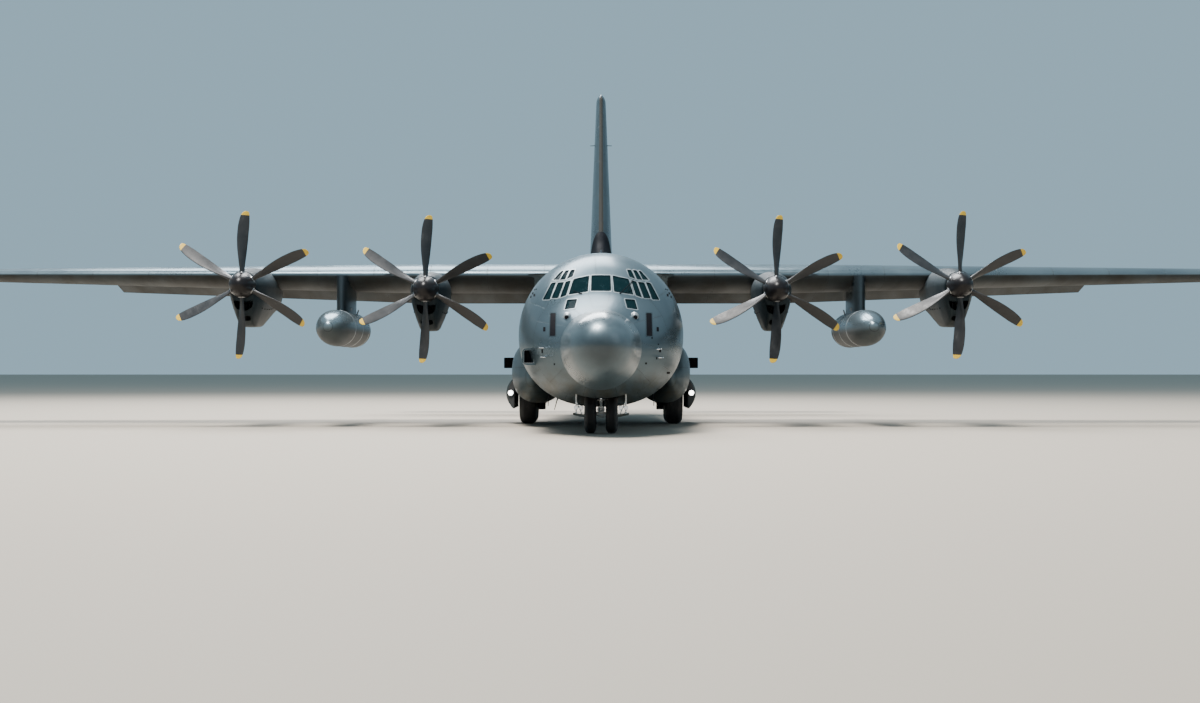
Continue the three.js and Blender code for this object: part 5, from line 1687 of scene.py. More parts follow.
def tyre_profile(radius, half_width, rim, grooves):
    """From the tread's middle over the shoulder to the rim. Grooves run round the tread."""
    crown = []
    for place, edge in enumerate([g + d for g in grooves for d in (-9, -7, 7, 9)]):
        depth = 16 if place % 4 in (1, 2) else 0
        crown.append([radius - depth - 14 * (edge / half_width) ** 2, edge])
    # Columns: radius, share of the half width.
    shoulder = [
        (radius - 22, 0.62), (radius - 46, 0.76), (radius - 84, 0.88), (radius - 130, 0.96),
        (radius * 0.5 + rim * 0.5, 1), (rim + 60, 0.95), (rim + 24, 0.86), (rim, 0.8), (rim - 12, 0.74),
    ]
    flank = crown + [[r, share * half_width] for r, share in shoulder]
    return both_sides(flank, [[rim - 14, 0.6 * half_width]])


HUB_SHARE = 0.62


def wheel_profile(rim, half_width, bore):
    flange = half_width * 0.78
    dish = half_width * HUB_SHARE
    return both_sides([
        [rim - 8, flange - 14], [rim + 6, flange], [rim - 12, flange + 2], [rim - 26, flange - 8],
        [rim - 34, dish + 4], [rim * 0.78, dish - 12], [rim * 0.5, dish - 26], [rim * 0.42, dish],
        [bore + 18, dish + 4], [bore, dish],
    ])


def bolt_ring(centre, ring, count, size, depth):
    """Bolt heads in a ring on the face of a wheel that turns about X."""
    across, station, level = centre
    bolts = []
    for angle in np.linspace(0, 2 * np.pi, count, endpoint=False):
        at = (station + ring * math.cos(angle), level + ring * math.sin(angle))
        bolts.append(crosswise(across, across + depth, *at, size, 6))
    return bolts


def wheel_set(centre, radius, half_width, rim, bore, grooves, sides=72):
    """A tyre and its wheel with bolts on both faces."""
    across, *axle = centre
    rubber = turned_skin(tyre_profile(radius, half_width, rim, grooves), centre, "X", sides)
    dish = half_width * HUB_SHARE
    wheel = turned_skin(wheel_profile(rim, half_width, bore), centre, "X", sides)
    bolts = []
    for outward in (-1, 1):
        bolts += bolt_ring((across + outward * (dish - 24), *axle), rim * 0.62, 12, 12, outward * 26)
        bolts += bolt_ring((across + outward * (dish - 16), *axle), rim * 0.86, 18, 8, outward * 24)
    return rubber, joined([wheel, *bolts])


MAIN_AXLES = {"front": 12690, "aft": 14210}
MAIN_ACROSS = 2170
MAIN_RADIUS = 711
MAIN_WHEEL = {"half_width": 255, "rim": 300, "bore": 64, "grooves": (20, 62, 104), "sides": 80}
for row_name, station in MAIN_AXLES.items():
    rubber, wheel = wheel_set((MAIN_ACROSS, station, MAIN_RADIUS), MAIN_RADIUS, **MAIN_WHEEL)
    stem = f"main_wheel_{row_name}"
    finish_pair(rubber, f"{stem}_tyre", rubber_black, stem, stem, 50)
    finish_pair(wheel, f"{stem}_hub", white_gear, None, stem)
print("main wheels done")

# %% [markdown]
# The main legs slide up and down inside two tall tracks on the well's wall. Each leg has an oil
# cylinder, a chrome piston, scissor links that stop it from turning, and a pack of brake discs.


# %% Main legs
def hose(points, radius):
    """A bent pipe from a chain of bars."""
    return [bar(a, b, radius, 12, rounding=1) for a, b in zip(points, points[1:])]


def scissors(across, station, side, top, bottom, reach=170):
    """Two links that meet in a knee, beside an upright strut."""
    knee = (top + bottom) / 2
    out = station + side * reach
    near = station + side * 95
    parts = []
    for offset in (-38, 38):
        for end in (top, bottom):
            parts.append(bar((across + offset, near, end), (across + offset * 0.5, out, knee), 18, 12, 13))
    pins = [(40, out, knee, 17), (60, near, top, 20), (60, near, bottom, 20)]
    return parts + [crosswise(across - half, across + half, place, level, size, 16)
                    for half, place, level, size in pins]


LEG_ACROSS = 1745
WELL_WALL = 1560.1
AXLE_END = 2364
white_parts = [block((WELL_WALL, 12440, 1480), (1805, 14460, 1640), 14)]
chrome_parts, brake_parts, pipes = [], [], []
for station in MAIN_AXLES.values():
    side = 1 if station == MAIN_AXLES["front"] else -1
    wheel_middle = (station, MAIN_RADIUS)
    white_parts += [
        upright(LEG_ACROSS, station, 1060, 1780, 104, 32),
        upright(LEG_ACROSS, station, 1040, 1100, 118, 32),
        upright(LEG_ACROSS, station, 600, 850, 104, 32),
        block((WELL_WALL, station - 80, 1250), (LEG_ACROSS, station + 80, 1780), 16),
        block((WELL_WALL, station - 150, 1250), (1610, station + 150, 1780), 10),
        crosswise(LEG_ACROSS, AXLE_END, *wheel_middle, 62, 32),
    ]
    white_parts += scissors(LEG_ACROSS, station, side, 1080, 800)
    chrome_parts.append(upright(LEG_ACROSS, station, 830, 1080, 76, 32))
    chrome_parts.append(crosswise(2340, AXLE_END, *wheel_middle, 96, 24))
    brake_parts += [crosswise(place, place + 14, *wheel_middle, 214, 40) for place in range(1872, 1969, 24)]
    brake_parts.append(crosswise(1862, 1996, *wheel_middle, 150, 32))
    brake_parts += bolt_ring((1850, *wheel_middle), 178, 8, 24, 24)
    pipes += hose([(LEG_ACROSS - 70, station - 105, 1560), (LEG_ACROSS - 60, station - 118, 1180),
                   (LEG_ACROSS, station - 150, 1000), (LEG_ACROSS + 60, station - 130, 860),
                   (1866, station - 110, 790)], 9)
pipes += hose([(1690, 12500, 1660), (1690, 13450, 1664), (1690, 14400, 1660)], 12)
white_parts.append(bar((1650, 12760, 1560), (1650, 14140, 1560), 50, 20))
white_parts.append(block((1600, 13330, 1400), (1760, 13570, 1480), 12))
finish_pair(joined(white_parts), "main_gear_leg", white_gear, "main_gear_leg", smooth=40)
finish_pair(joined(chrome_parts), "main_gear_pistons", chrome)
finish_pair(joined(brake_parts), "main_brakes", hot_metal)
finish_pair(joined(pipes), "main_brake_pipes", matt_black)
leg_boxes = [
    block((1640, 12260, 430), (1850, 12400, 900), 26, 3), block((1600, 12280, 880), (1700, 12420, 1500), 20),
    bar((LEG_ACROSS, 12250, 500), (LEG_ACROSS, 12420, 500), 60, 28),
]
finish_pair(joined(leg_boxes), "main_leg_boxes", matt_black)

# %% [markdown]
# The main doors hang open outside the wheels. Each is a curved panel with ribs on its inner side
# and a landing light at its front end, which is lit.

# %% Main gear doors and lamps
DOOR_START, DOOR_END = 11900, 14980
LAMP_AT = (2665, 0, 930)
LAMP_RADIUS = 85
DOOR_OUTER = [[2530, 1400], [2600, 1348], [2660, 1285], [2715, 1205], [2760, 1110], [2785, 1010], [2792, 920],
              [2786, 830], [2762, 735], [2720, 640], [2665, 552], [2600, 470]]
DOOR_INNER = [[2560, 470], [2640, 560], [2690, 650], [2728, 745], [2750, 840], [2757, 920], [2750, 1000],
              [2722, 1095], [2680, 1185], [2628, 1260], [2575, 1315], [2540, 1350]]
RIB = DOOR_INNER[:-2] + [[2545, 1200], [2560, 1000], [2560, 760]]
ribs = [prism(RIB, "Y", place, place + 36) for place in np.linspace(DOOR_START, DOOR_END - 36, 7)]
for place in (DOOR_START + 300, DOOR_END - 400):
    ribs.append(block((2522, place, 1340), (2598, place + 100, 1459.8), 8))
ribs.append(bar((2545, DOOR_START + 250, 1392), (2545, DOOR_END - 250, 1392), 14, 16))
panel = prism(DOOR_OUTER + DOOR_INNER, "Y", DOOR_START, DOOR_END)
finish_pair(panel, "main_gear_door", fairing_paint, "main_gear_door", smooth=40)
finish_pair(joined(ribs), "main_door_ribs", dark_bay)


def glowing(name, colour, strength):
    """A lamp's glass that gives off light."""
    return Board(name).shine({"Base Color": (0.8, 0.8, 0.8, 1), "Roughness": 0.12,
                              "Emission Strength": strength, "Emission Color": (*colour, 1)}, {})


face, rim = LAMP_RADIUS - 12, LAMP_RADIUS
lens = [[0, 11862], [40, 11865], [rim - 14, 11876], [rim - 10, 11892], [0, 11892]]
lamp_glass = turned_skin(lens, LAMP_AT, "Y", 40)
shell = turned_skin([[face, 11874], [rim, 11868], [rim, 11880], [rim - 6, 11960], [30, 12030],
                     [0, 12032], [0, 11990], [face, 11890], [face, 11874]], LAMP_AT, "Y", 40)
finish_pair(lamp_glass, "landing_light", glowing("lit_lamp", (1.0, 0.97, 0.9), 9))
finish_pair(shell, "landing_light_shell", silver_trim)

# %% [markdown]
# The nose leg is fixed, and its piston turns to steer. Links join the collar to the axle block, and
# the twin wheels turn on one axle.

# %% Nose leg, fork and wheels
NOSE_AXLE = 3670
NOSE_RADIUS = 495
WELL_ROOF = 1799.5
collar = cut(upright(0, NOSE_AXLE, 980, 1100, 135, 36, rounding=10),
             upright(0, NOSE_AXLE, 900, 1120, 76, 32, rounding=0.5))
leg = [
    upright(0, NOSE_AXLE, 1080, WELL_ROOF, 115, 36),
    bar((0, NOSE_AXLE, 1250), (0, NOSE_AXLE - 950, 1740), 45, 20),
    slab(0, 120, NOSE_AXLE - 1060, NOSE_AXLE - 860, 1670, WELL_ROOF, 14),
    slab(0, 300, NOSE_AXLE - 70, NOSE_AXLE + 70, 1650, WELL_ROOF, 20),
    collar,
    *[upright(side * 90, NOSE_AXLE - 80, 1180, 1420, 34, 20) for side in (-1, 1)],
    *[bar((side * 100, NOSE_AXLE - 60, 1120), (side * 175, NOSE_AXLE - 150, 1120), 20, 14) for side in (-1, 1)],
]
finish(joined(leg), "nose_leg", white_gear, replaces="nose_gear_leg", smooth=40)
TAXI_SHELL = [[52, -70], [60, -66], [60, -50], [40, 20], [0, 24], [0, -40], [50, -60], [52, -70]]
TAXI_GLASS = [[0, -62], [50, -56], [50, -50], [0, -50]]
taxi_shells, taxi_glass = [
    joined([turned_skin(profile, (side * 175, NOSE_AXLE - 150, 1120), "Y", 32) for side in (-1, 1)])
    for profile in (TAXI_SHELL, TAXI_GLASS)
]
finish(taxi_shells, "taxi_light_shells", silver_trim)
finish(taxi_glass, "taxi_light_glass", glowing("unlit_lamp", (0.5, 0.5, 0.5), 0.05))
leg_pipes = []
for side in (1, -1):
    leg_pipes += hose([(side * 90, NOSE_AXLE + 90, 1640), (side * 96, NOSE_AXLE + 98, 1300),
                       (side * 60, NOSE_AXLE + 132, 1120)], 9)
finish(joined(leg_pipes), "nose_leg_pipes", matt_black)

piston = upright(0, NOSE_AXLE, 520, 1100, 71.5, 40)
finish(piston, "nose_piston", chrome, "nose_gear_fork", "nose_gear_fork", 40)
KNEE = (NOSE_AXLE - 134, 740)
fork = [
    crosswise(-88, 88, NOSE_AXLE, NOSE_RADIUS, 99, 32),
    upright(0, NOSE_AXLE, 540, 640, 88, 32),
    slab(0, 42, NOSE_AXLE - 148, NOSE_AXLE - 70, 575, 640, 10),
]
for offset in (-32, 32):
    for station, level in ((NOSE_AXLE - 126, 610), (NOSE_AXLE - 100, 850)):
        fork.append(bar((offset, station, level), (offset * 0.7, *KNEE), 15, 14, 12))
fork.append(crosswise(-42, 42, NOSE_AXLE - 132, 740, 14, 16))
fork.append(upright(0, NOSE_AXLE, 830, 868, 100, 32))
finish(joined(fork), "nose_fork", white_gear, "nose_gear_fork", smooth=40)

rubbers, hubs = [], [crosswise(-398, 398, NOSE_AXLE, NOSE_RADIUS, 48, 32)]
NOSE_WHEEL = {"half_width": 152, "rim": 205, "bore": 47, "grooves": (18, 56), "sides": 72}
for side in (-1, 1):
    across = side * 270
    rubber, wheel = wheel_set((across, NOSE_AXLE, NOSE_RADIUS), NOSE_RADIUS, **NOSE_WHEEL)
    rubbers.append(rubber)
    hubs += [wheel, crosswise(across + side * 84, across + side * 112, NOSE_AXLE, NOSE_RADIUS, 66, 24)]
finish(joined(rubbers), "nose_tyres", rubber_black, "nose_wheels", "nose_wheels", 50)
finish(joined(hubs), "nose_hubs", white_gear, "nose_wheels")

# %% Nose gear doors
DOOR_SECTION = [[385, 462], [405, 446], [430, 441], [560, 466], [688, 500], [694, 520], [688, 545], [560, 516],
                [430, 496], [400, 500]]
nose_gear_door = prism(DOOR_SECTION, "Y", 2400, 3000, 8, 2)
finish_pair(nose_gear_door, "nose_gear_door", fairing_paint, "nose_gear_door")
ARM_STATIONS = (2480, 2900)
arms = []
for place in ARM_STATIONS:
    arms += [
        upright(614, place, 530, 1059, 15, 16), bar((470, place, 520), (612, place, 830), 11, 14),
        block((596, place - 40, 1000), (629.8, place + 40, 1060), 6),
        slab(615, 25, place - 34, place + 34, 515, 560, 8),
    ]
arms.append(bar((614, ARM_STATIONS[0], 800), (614, ARM_STATIONS[1], 800), 11, 14))
finish_pair(joined(arms), "nose_door_arms", white_gear)
housings = []
for across, place in ((612, 2440), (486, 2470)):
    housings.append(bar((across, place, 672), (across, place + 150, 672), 50, 32, 40, 10))
    housings.append(slab(across, 16, place + 40, place + 110, 520, 680, 6))
    housings.append(bar((across, place - 26, 672), (across, place + 2, 672), 56, 32, 56, 8))
finish_pair(joined(housings), "nose_door_lamps", chrome)
tow_parts = [turned_skin([[62, -26], [90, -26], [98, 0], [90, 26], [62, 26], [54, 0], [62, -26]],
                         (0, NOSE_AXLE - 196, 610), "Y", 48)]
for side in (-1, 1):
    tow_parts.append(bar((side * 76, NOSE_AXLE - 190, 600), (side * 60, NOSE_AXLE - 60, 600), 20, 16))
tow_parts.append(bar((0, NOSE_AXLE - 196, 700), (0, NOSE_AXLE - 150, 800), 26, 16))
finish(joined(tow_parts), "tow_ring", white_gear, "nose_gear_fork", smooth=50)
print("gear done")

# %% [markdown]
# Through the glass one sees two seats, a pedestal of levers and a dark panel under a shade. The
# hold is hollow, with hoops along its walls, roller tracks on its floor and benches along its sides.

# %% Flight deck
DECK_TOP = 2080
SEATS_ACROSS = (-620, 620)


def on_deck(across, half_width, start, end, low, high, rounding=12.0, steps=2):
    """A slab whose levels are heights over the flight deck."""
    return slab(across, half_width, start, end, DECK_TOP + low, DECK_TOP + high, rounding, steps)


deck_rows = rows[(rows > 1900) & (rows < 4600)]
cavity = barrel(deck_rows, inset=WALL + 1)
deck = common(block((-2300, 1900, DECK_TOP - 90), (2300, 4380, DECK_TOP), 0), copied(cavity))
finish(deck, "deck_floor", floor_metal, replaces="flight_deck")
finish(on_deck(0, 170, 2905, 3700, -5, 520, 30, 3), "pedestal", dark_bay)
seat_frames, cushions, straps = [], [], []
for across in SEATS_ACROSS:
    seat_frames += [
        on_deck(across, 90, 3450, 3800, -5, 380, 16), on_deck(across, 238, 3352, 3878, 370, 420, 18),
        on_deck(across, 225, 3850, 3898, 420, 1150, 18, 3),
    ]
    cushions += [
        on_deck(across, 225, 3360, 3840, 415, 498, 34, 4), on_deck(across, 215, 3785, 3852, 500, 1000, 30, 4),
        on_deck(across, 130, 3785, 3856, 1020, 1172, 30, 4),
    ]
    for side in (-1, 1):
        straps.append(on_deck(across + side * 90, 24, 3776, 3786, 520, 1010, 3))
        seat_frames.append(on_deck(across + side * 232, 14, 3480, 3860, 560, 600, 10))
finish(joined(seat_frames), "seat_frames", dark_bay)
cushion_cloth = worn_finish("seat_cloth", (0.09, 0.105, 0.085), 0.85, wear=(0.16, 0.16, 0.13), amount=0.4,
                            scale=12, bump=0.0012)
cushion = finish(joined(cushions), "seat_cushions", cushion_cloth)
finish(joined(straps), "seat_straps", worn_finish("strap_webbing", (0.2, 0.19, 0.15), 0.8))

levers = []
for k, across in enumerate((-100, -60, -20, 20)):
    levers.append(bar((across, 3060, DECK_TOP + 500), (across, 3020 + 6 * k, DECK_TOP + 556), 9, 10))
    levers.append(on_deck(across, 14, 3000, 3040, 536, 559, 6))
levers += [on_deck(across, 40, 3200, 3420, 515, 532, 4) for across in (-110, 0, 110)]
finish(joined(levers), "pedestal_levers", silver_trim)

# %% Instrument panel
panel = on_deck(0, 845, 2785, 2880, 1, 1075, 16)
shade = on_deck(0, 895, 2705, 2955, 1070, 1118, 20, 3)
finish(joined([panel, shade]), "panel_board", dark_bay, replaces="instrument_panel")
# Columns: across, half width, bottom and top of the screen, and how far its bezel stands out round it.
SCREENS = [
    (-640, 105, 700, 960, 17), (-370, 105, 700, 960, 17), (370, 105, 700, 960, 17),
    (640, 105, 700, 960, 17), (-110, 90, 720, 940, 14), (110, 90, 720, 940, 14),
]
screens = [on_deck(x, half, 2878, 2886, low, high, 5) for x, half, low, high, _ in SCREENS]
bezels = [on_deck(x, half + edge, 2874, 2882, low - edge, high + edge, 5)
          for x, half, low, high, edge in SCREENS]
finish(joined(bezels), "panel_bezels", matt_black)
screen_glass = worn_finish("dark_screens", (0.012, 0.02, 0.028), 0.12, wear=(0.05, 0.06, 0.07), amount=0.2)
finish(joined(screens), "panel_screens", screen_glass)
YOKE_TOP = DECK_TOP + 560
yokes = []
for across in SEATS_ACROSS:
    yokes.append(bar((across, 2990, DECK_TOP + 5), (across, 3080, YOKE_TOP), 24, 16, 18))
    yokes.append(crosswise(across - 120, across + 120, 3080, YOKE_TOP, 16, 14))
    for side in (-1, 1):
        foot, tip = across + side * 120, across + side * 130
        yokes.append(bar((foot, 3080, YOKE_TOP - 4), (tip, 3080, YOKE_TOP + 90), 17, 14))
finish(joined(yokes), "control_yokes", matt_black)
back_wall = common(block((-2000, 4340, DECK_TOP - 2), (2000, 4378, 4600), 0), cavity)
back_wall = cut(back_wall, on_deck(0, 330, 4300, 4420, 10, 1750, 30, 3))
finish(back_wall, "deck_back_wall", lining_grey)

# %% Cargo floor, rollers and hoops
HOLD = {"start": 4500, "end": 17850}
hold_cavity = near_barrel(HOLD["start"] - 20, HOLD["end"] + 20, WALL + 1)
hold_floor = common(slab(0, 1480, HOLD["start"], HOLD["end"], 0, FLOOR_TOP, 0), hold_cavity)
finish(hold_floor, "hold_floor", floor_metal, replaces="cargo_floor")
lug_parts = []
for across in (-LUG_ACROSS, LUG_ACROSS):
    lug_parts.append(crosswise(across - 50, across + 50, RAMP_AXIS["station"], RAMP_AXIS["level"], 80, 32))
    lug_parts.append(slab(across, 50, HOLD["end"] - 30, RAMP_AXIS["station"], 812, 838, 4))
finish(joined(lug_parts), "ramp_lugs", bare_steel)
tracks = []
for across in (-1050, -420, 420, 1050):
    tracks.append(slab(across, 45, HOLD["start"] + 20, HOLD["end"] - 20, FLOOR_TOP - 4, FLOOR_TOP + 8, 3))
    for station in range(HOLD["start"] + 120, HOLD["end"] - 60, 420):
        tracks.append(crosswise(across - 38, across + 38, station, FLOOR_TOP + 6, 14, 10))
finish(joined(tracks), "floor_tracks", bare_steel)
rings = []
for station in range(5900, 17800, 1020):
    hoop = cut(near_barrel(station, station + 60, WALL + 1), near_barrel(station - 5, station + 65, WALL + 75))
    rings.append(cut(hoop, slab(0, 3000, station - 10, station + 80, 0, FLOOR_TOP - 10, 0)))
hoops = cut(joined(rings), block((-2400, 9300, 3700), (2400, 14800, 4800), 0),
            block((WELL_WALL - 70, 11700, 0), (2400, 15180, 1960), 0),
            block((-2400, 11700, 0), (-WELL_WALL + 70, 15180, 1960), 0))
finish(hoops, "hold_hoops", lining_grey)
BENCH_LENGTH = 900
bench_parts = []
for side in (-1, 1):
    for station in range(5600, 11300, 950):
        bench_parts.append(slab(side * 1385, 60, station, station + BENCH_LENGTH,
                                FLOOR_TOP + 420, FLOOR_TOP + 470, 14))
        for leg_station in (station + 60, station + BENCH_LENGTH - 60):
            bench_parts.append(bar((side * 1440, leg_station, FLOOR_TOP + 2),
                                   (side * 1340, leg_station, FLOOR_TOP + 440), 14, 12))
bench_cloth = worn_finish("bench_webbing", (0.22, 0.045, 0.03), 0.85, wear=(0.12, 0.05, 0.04), amount=0.4,
                          scale=10)
finish(joined(bench_parts), "hold_benches", bench_cloth)
print("cabin done")

# %% [markdown]
# Small things finish the likeness: sensor pods with dark mouths, probes, slots, blade antennas,
# lights and static wicks. Each is set on the skin, whose height or width is asked of the fuselage's
# own tables.


# %% Places on the skin
def station_where(across, level):
    """The foremost station at which the nose is as wide as this, at a height."""
    low, high = RADOME_END, 6400
    for _ in range(40):
        middle = (low + high) / 2
        low, high = (low, middle) if skin_across(middle, level) > abs(across) else (middle, high)
    return high


def on_skin(outline, depth, lift, rounding=12):
    """A thin patch of the fuselage's own wall, under an outline drawn from the front."""
    return common(skin_strip(-lift, depth, 1500, 5200), prism(outline, "Y", 1400, 5250, rounding))


def oblong(across, level, half_width, half_height):
    return [[across - half_width, level - half_height], [across + half_width, level - half_height],
            [across + half_width, level + half_height], [across - half_width, level + half_height]]


# %% Sensor pods and dark slots on the nose
for side, name in ((1, "left"), (-1, "right")):
    across, level = side * 822, 2925
    station = station_where(across, level)
    pod = turned_skin([[0, -190], [40, -184], [78, -150], [98, -90], [104, 0], [92, 120], [50, 230], [0, 262]],
                      (across * 0.985, station + 40, level - 20), "Y", 40)
    mouth = turned_skin([[0, -196], [30, -194], [56, -176], [62, -150], [0, -150]],
                        (across * 0.985 + side * 14, station + 36, level - 46), "Y", 32)
    finish(pod, f"sensor_pod_{name}", silver_trim)
    finish(mouth, f"sensor_mouth_{name}", matt_black)
slots, slot_frames = [], []
for across in (-1176, 1176):
    slot, panel = oblong(across, 2715, 68, 285), oblong(across, 2715, 92, 309)
    slots.append(on_skin(slot, 10, 5, 20))
    slot_frames.append(cut(on_skin(panel, 10, 2.5, 24), prism(slot, "Y", 1400, 5250, 20)))
finish(joined(slots), "nose_slots", matt_black)
finish(joined(slot_frames), "slot_frames", fairing_paint)

# Columns of both tables: across, level, half width, half height.
DOTS = [
    (-1390, 2600, 30, 55), (1390, 2600, 30, 55), (1446, 2070, 26, 38), (1400, 2230, 16, 16),
    (-1440, 2062, 18, 45), (-1130, 1742, 18, 22), (1090, 1760, 24, 24), (1240, 2380, 16, 22),
    (1360, 1890, 15, 30), (1700, 1530, 50, 28),
]
dots = joined([on_skin(oblong(x, z, w, h), 8, 3, 8) for x, z, w, h in DOTS])
finish(dots, "nose_ports", matt_black)

# Small side windows, in two rows beside the windshield.
SIDE_LIGHTS = [
    (1650, 3660, 20, 16), (1705, 3655, 22, 16), (1745, 3560, 24, 30), (1690, 3500, 26, 36),
    (1790, 3470, 20, 34),
]
for side, name in ((1, "left"), (-1, "right")):
    patches = [on_skin(oblong(side * x, z, w, h), 8, 3, 8) for x, z, w, h in SIDE_LIGHTS]
    finish(joined(patches), f"side_lights_{name}", matt_black)

# %% Probes
probes = []
for across, level in ((-1420, 2146), (-1380, 1915), (1430, 1905), (1380, 2110)):
    station = station_where(across, level)
    side = math.copysign(1, across)
    probes += [
        bar((across * 0.97, station + 60, level), (across + side * 80, station - 10, level), 16, 16, 11),
        bar((across + side * 80, station + 30, level), (across + side * 80, station - 230, level), 22, 20, 15),
        block((across - 78, station - 40, level - 12), (across + 60, station + 120, level + 12), 8),
    ]
finish(joined(probes), "air_probes", chrome)

# %% Wipers and scoop
wipers = [
    bar((470, 2395, 3480), (770, 2660, 3790), 11, 12, 8), bar((655, 2520, 3560), (800, 2690, 3840), 8, 10),
    bar((470, 2400, 3480), (470, 2500, 3480), 22, 16),
    bar((-480, 2385, 3475), (-700, 2560, 3560), 9, 10), bar((-480, 2390, 3475), (-480, 2480, 3475), 20, 16),
]
finish(joined(wipers), "wipers", matt_black)
SCOOP_START, SCOOP_END, SCOOP_LEVEL = 2900, 3750, 1935


def scoop_section(share):
    """How far the scoop stands out, from its mouth to its faired tail."""
    return math.sin(math.pi / 2 * (1 - share) ** 0.8) * 0.9 + 0.1


scoop_rings = []
scoop_ring = squared_ring(np.linspace(0, 2 * np.pi, 40, endpoint=False), 0.5)
for share in np.linspace(0, 1, 12):
    station = SCOOP_START + share * (SCOOP_END - SCOOP_START)
    centre = skin_across(station, SCOOP_LEVEL) + 10
    reach = max(20, (1955 - centre)) * scoop_section(share) + 10
    across = centre + scoop_ring[0] * reach * np.where(scoop_ring[0] > 0, 1, 1.6)
    level = SCOOP_LEVEL + scoop_ring[1] * (212 - 70 * share)
    scoop_rings.append(spot(-across, station, level))
scoop_skin = skin_across(SCOOP_START, SCOOP_LEVEL)
scoop = cut(lofted(scoop_rings), block((-1925, 2890, 1765), (-scoop_skin + 30, 3200, 2105), 26, 3),
            near_barrel(2500, 4200, 60))
finish(scoop, "air_scoop", fairing_paint, smooth=40)
scoop_lip = common(cut(block((-1950, 2902, 1740), (-scoop_skin + 40, 2935, 2130), 30, 3),
                       block((-1918, 2890, 1772), (-scoop_skin + 20, 2945, 2098), 24, 3)),
                   block((-1960, 2890, 1700), (-1500, 2960, 2160), 0))
finish(scoop_lip, "scoop_lip", silver_trim)
# A black block at the back of the scoop's mouth: painted shade inside the opening.
scoop_mouth_shade = block((-1922, 3150, 1768), (-scoop_skin + 10, 3196, 2102), 4)
finish(scoop_mouth_shade, "scoop_shade_block", matt_black)


# %% [markdown]
# Blade antennas are short tapered fins. One function lofts them between a root and a tip outline,
# both shaped like a slim lens.


# %% Antennas, lights and wicks
def blade(root, tip, chord, tip_chord, thickness, turns=24):
    """A small fin between two places, with a lens-shaped section along the airflow."""
    turn = np.linspace(0, 1, turns, endpoint=False)
    share = (1 - np.cos(2 * np.pi * turn)) / 2
    along = share - 0.5
    bulge = np.sin(np.pi * share) * np.where(turn < 0.5, 0.5, -0.5)
    axis = spot(*tip) - spot(*root)
    side = np.cross(axis / np.linalg.norm(axis), [0, 1, 0])
    rings = []
    for k in np.linspace(0, 1, 5):
        width = chord + (tip_chord - chord) * k
        centre = spot(*root) + axis * k
        ring = centre + along[:, None] * np.array([0, width * UNIT, 0])
        rings.append(ring + bulge[:, None] * side * thickness * UNIT * (1 - 0.45 * k))
    return lofted(rings)


# Columns: across, station, lean across, height, chord, tip chord.
ANTENNAS = [
    (1390, 6400, 20, 330, 150, 110), (-1390, 6400, -20, 330, 150, 110), (-1150, 6300, -90, 300, 150, 90),
    (0, 9000, 0, 260, 380, 240), (0, 16400, 0, 230, 320, 200), (420, 10400, 0, 120, 240, 160),
]
under_blades = []
for across, station, lean, height, chord, tip_chord in ANTENNAS:
    level = skin_level(station, across, upper=False)
    root, tip = (across, station, level + 30), (across + lean, station + 60, level - height)
    under_blades.append(blade(root, tip, chord, tip_chord, 34))
finish(joined(under_blades), "belly_antennas", matt_black, smooth=50)
# Columns: station, height, chord, tip chord.
CROWN = [(7600, 190, 340, 180), (15800, 220, 380, 210), (18600, 130, 260, 150)]
crown_blades = [blade((0, s, skin_level(s, 0) - 20), (0, s + 90, skin_level(s, 0) + h), chord, tip_chord, 34)
                for s, h, chord, tip_chord in CROWN]
crown_blades.append(turned_skin([[150, -14], [148, 20], [120, 44], [70, 56], [0, 60], [0, -14]],
                                (0, 6900, skin_level(6900, 0)), "Z", 40))
finish(joined(crown_blades), "crown_antennas", tank_paint, smooth=50)
fin_blades = [blade((side * 180, 26350, 9900), (side * 405, 26420, 9900), 210, 130, 26) for side in (-1, 1)]
finish(joined(fin_blades), "fin_antennas", matt_black, smooth=50)

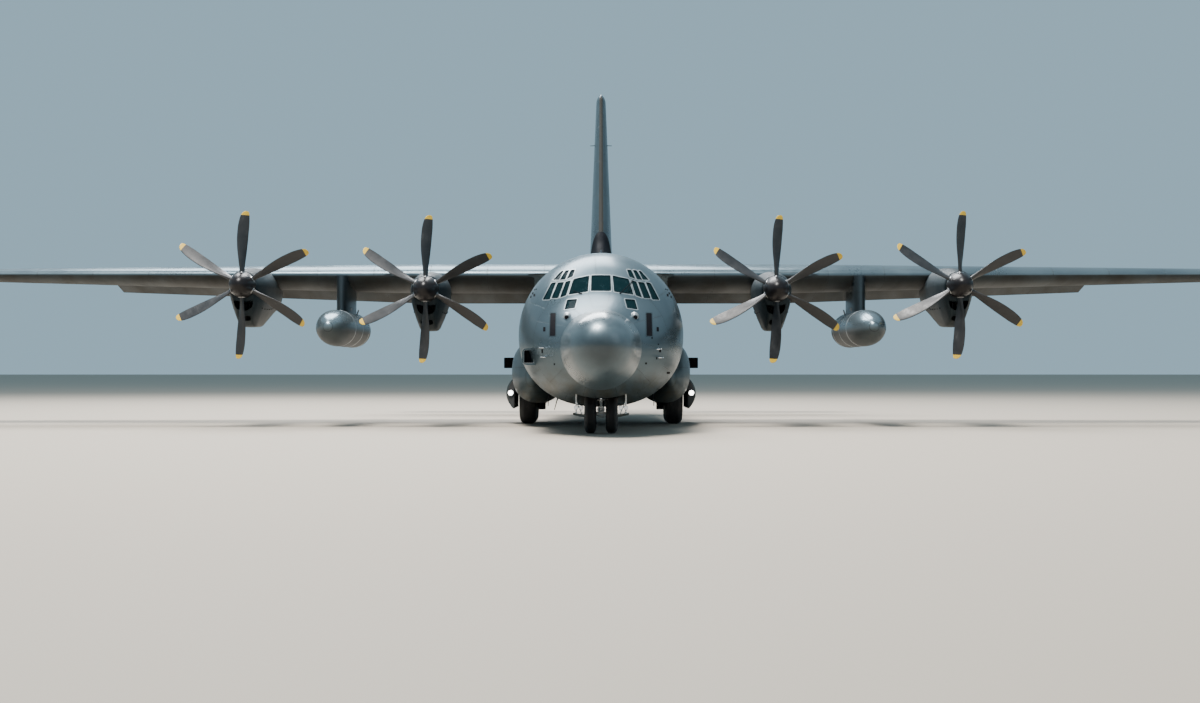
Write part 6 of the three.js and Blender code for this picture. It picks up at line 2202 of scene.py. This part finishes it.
wicks = []
for across in np.linspace(15400, 19500, 6):
    share = (across - CENTRE_SPAN) / (SECTIONS["wing_tip"][0] - CENTRE_SPAN)
    chord = 4880 + (2480 - 4880) * share
    tail = 12520 + 0.75 * chord
    level = 4310 + 110 * share - 0.75 * chord * math.sin(math.radians(3 - 2.4 * share))
    wicks.append(bar((across, tail - 20, level), (across, tail + 200, level - 8), 5, 8, 3, 1))
finish_pair(joined(wicks), "static_wicks", matt_black, paired_body="aileron")


beacon = turned_skin([[74, -10], [72, 20], [60, 60], [36, 92], [0, 104], [0, -10]],
                     (0, 12200, 4730), "Z", 40)
belly_beacon = turned_skin([[0, -96], [34, -86], [58, -58], [70, -20], [74, 10], [0, 10]],
                           (0, 12600, skin_level(12600, 0, upper=False)), "Z", 40)
RED = (0.42, 0.02, 0.015)
red_glass = worn_finish("red_light_glass", RED, 0.15, wear=RED, amount=0.1,
                        extra={"Coat Weight": 0.8, "Coat Roughness": 0.05})
finish(joined([beacon, belly_beacon]), "red_beacons", red_glass, smooth=50)
print("details done")

# %% Studio floor, light and finish
FLOOR_REACH = 260
deselect()
bpy.ops.mesh.primitive_plane_add(size=FLOOR_REACH * 2, location=(0, 60, 0))
floor = bpy.context.object
floor.name = "studio_floor"
floor_board = Board("pale_floor")
floor.data.materials.append(floor_board.shine({"Base Color": (0.36, 0.315, 0.26, 1), "Roughness": 0.85}, {}))

world = bpy.data.worlds.new("soft_sky")
world.use_nodes = True
sky = world.node_tree.nodes["Background"].inputs
sky["Color"].default_value = (0.42, 0.64, 0.78, 1)
sky["Strength"].default_value = 0.76
bpy.context.scene.world = world

LIGHTS = [
    # name, place, aimed at, size, watts, colour
    ("key", (-7, -14, 35), (0, -5, 2), 12, 36000, (1.0, 0.97, 0.93)),
    ("fill", (16, -16, 9), (0, -2, 2), 12, 300, (0.9, 0.95, 1.0)),
    ("top", (-5, 16, 24), (0, -3, 2), 18, 19000, (1.0, 1.0, 1.0)),
]
for name, place, target, size, watts, colour in LIGHTS:
    deselect()
    bpy.ops.object.light_add(type="AREA", location=place)
    lamp = bpy.context.object
    lamp.name = f"{name}_light"
    lamp.data.size = size
    lamp.data.energy = watts
    lamp.data.color = colour
    aim = Vector(target) - Vector(place)
    lamp.rotation_euler = aim.to_track_quat("-Z", "Y").to_euler()

# %% The count of pieces made
print("pieces made:", len(made))
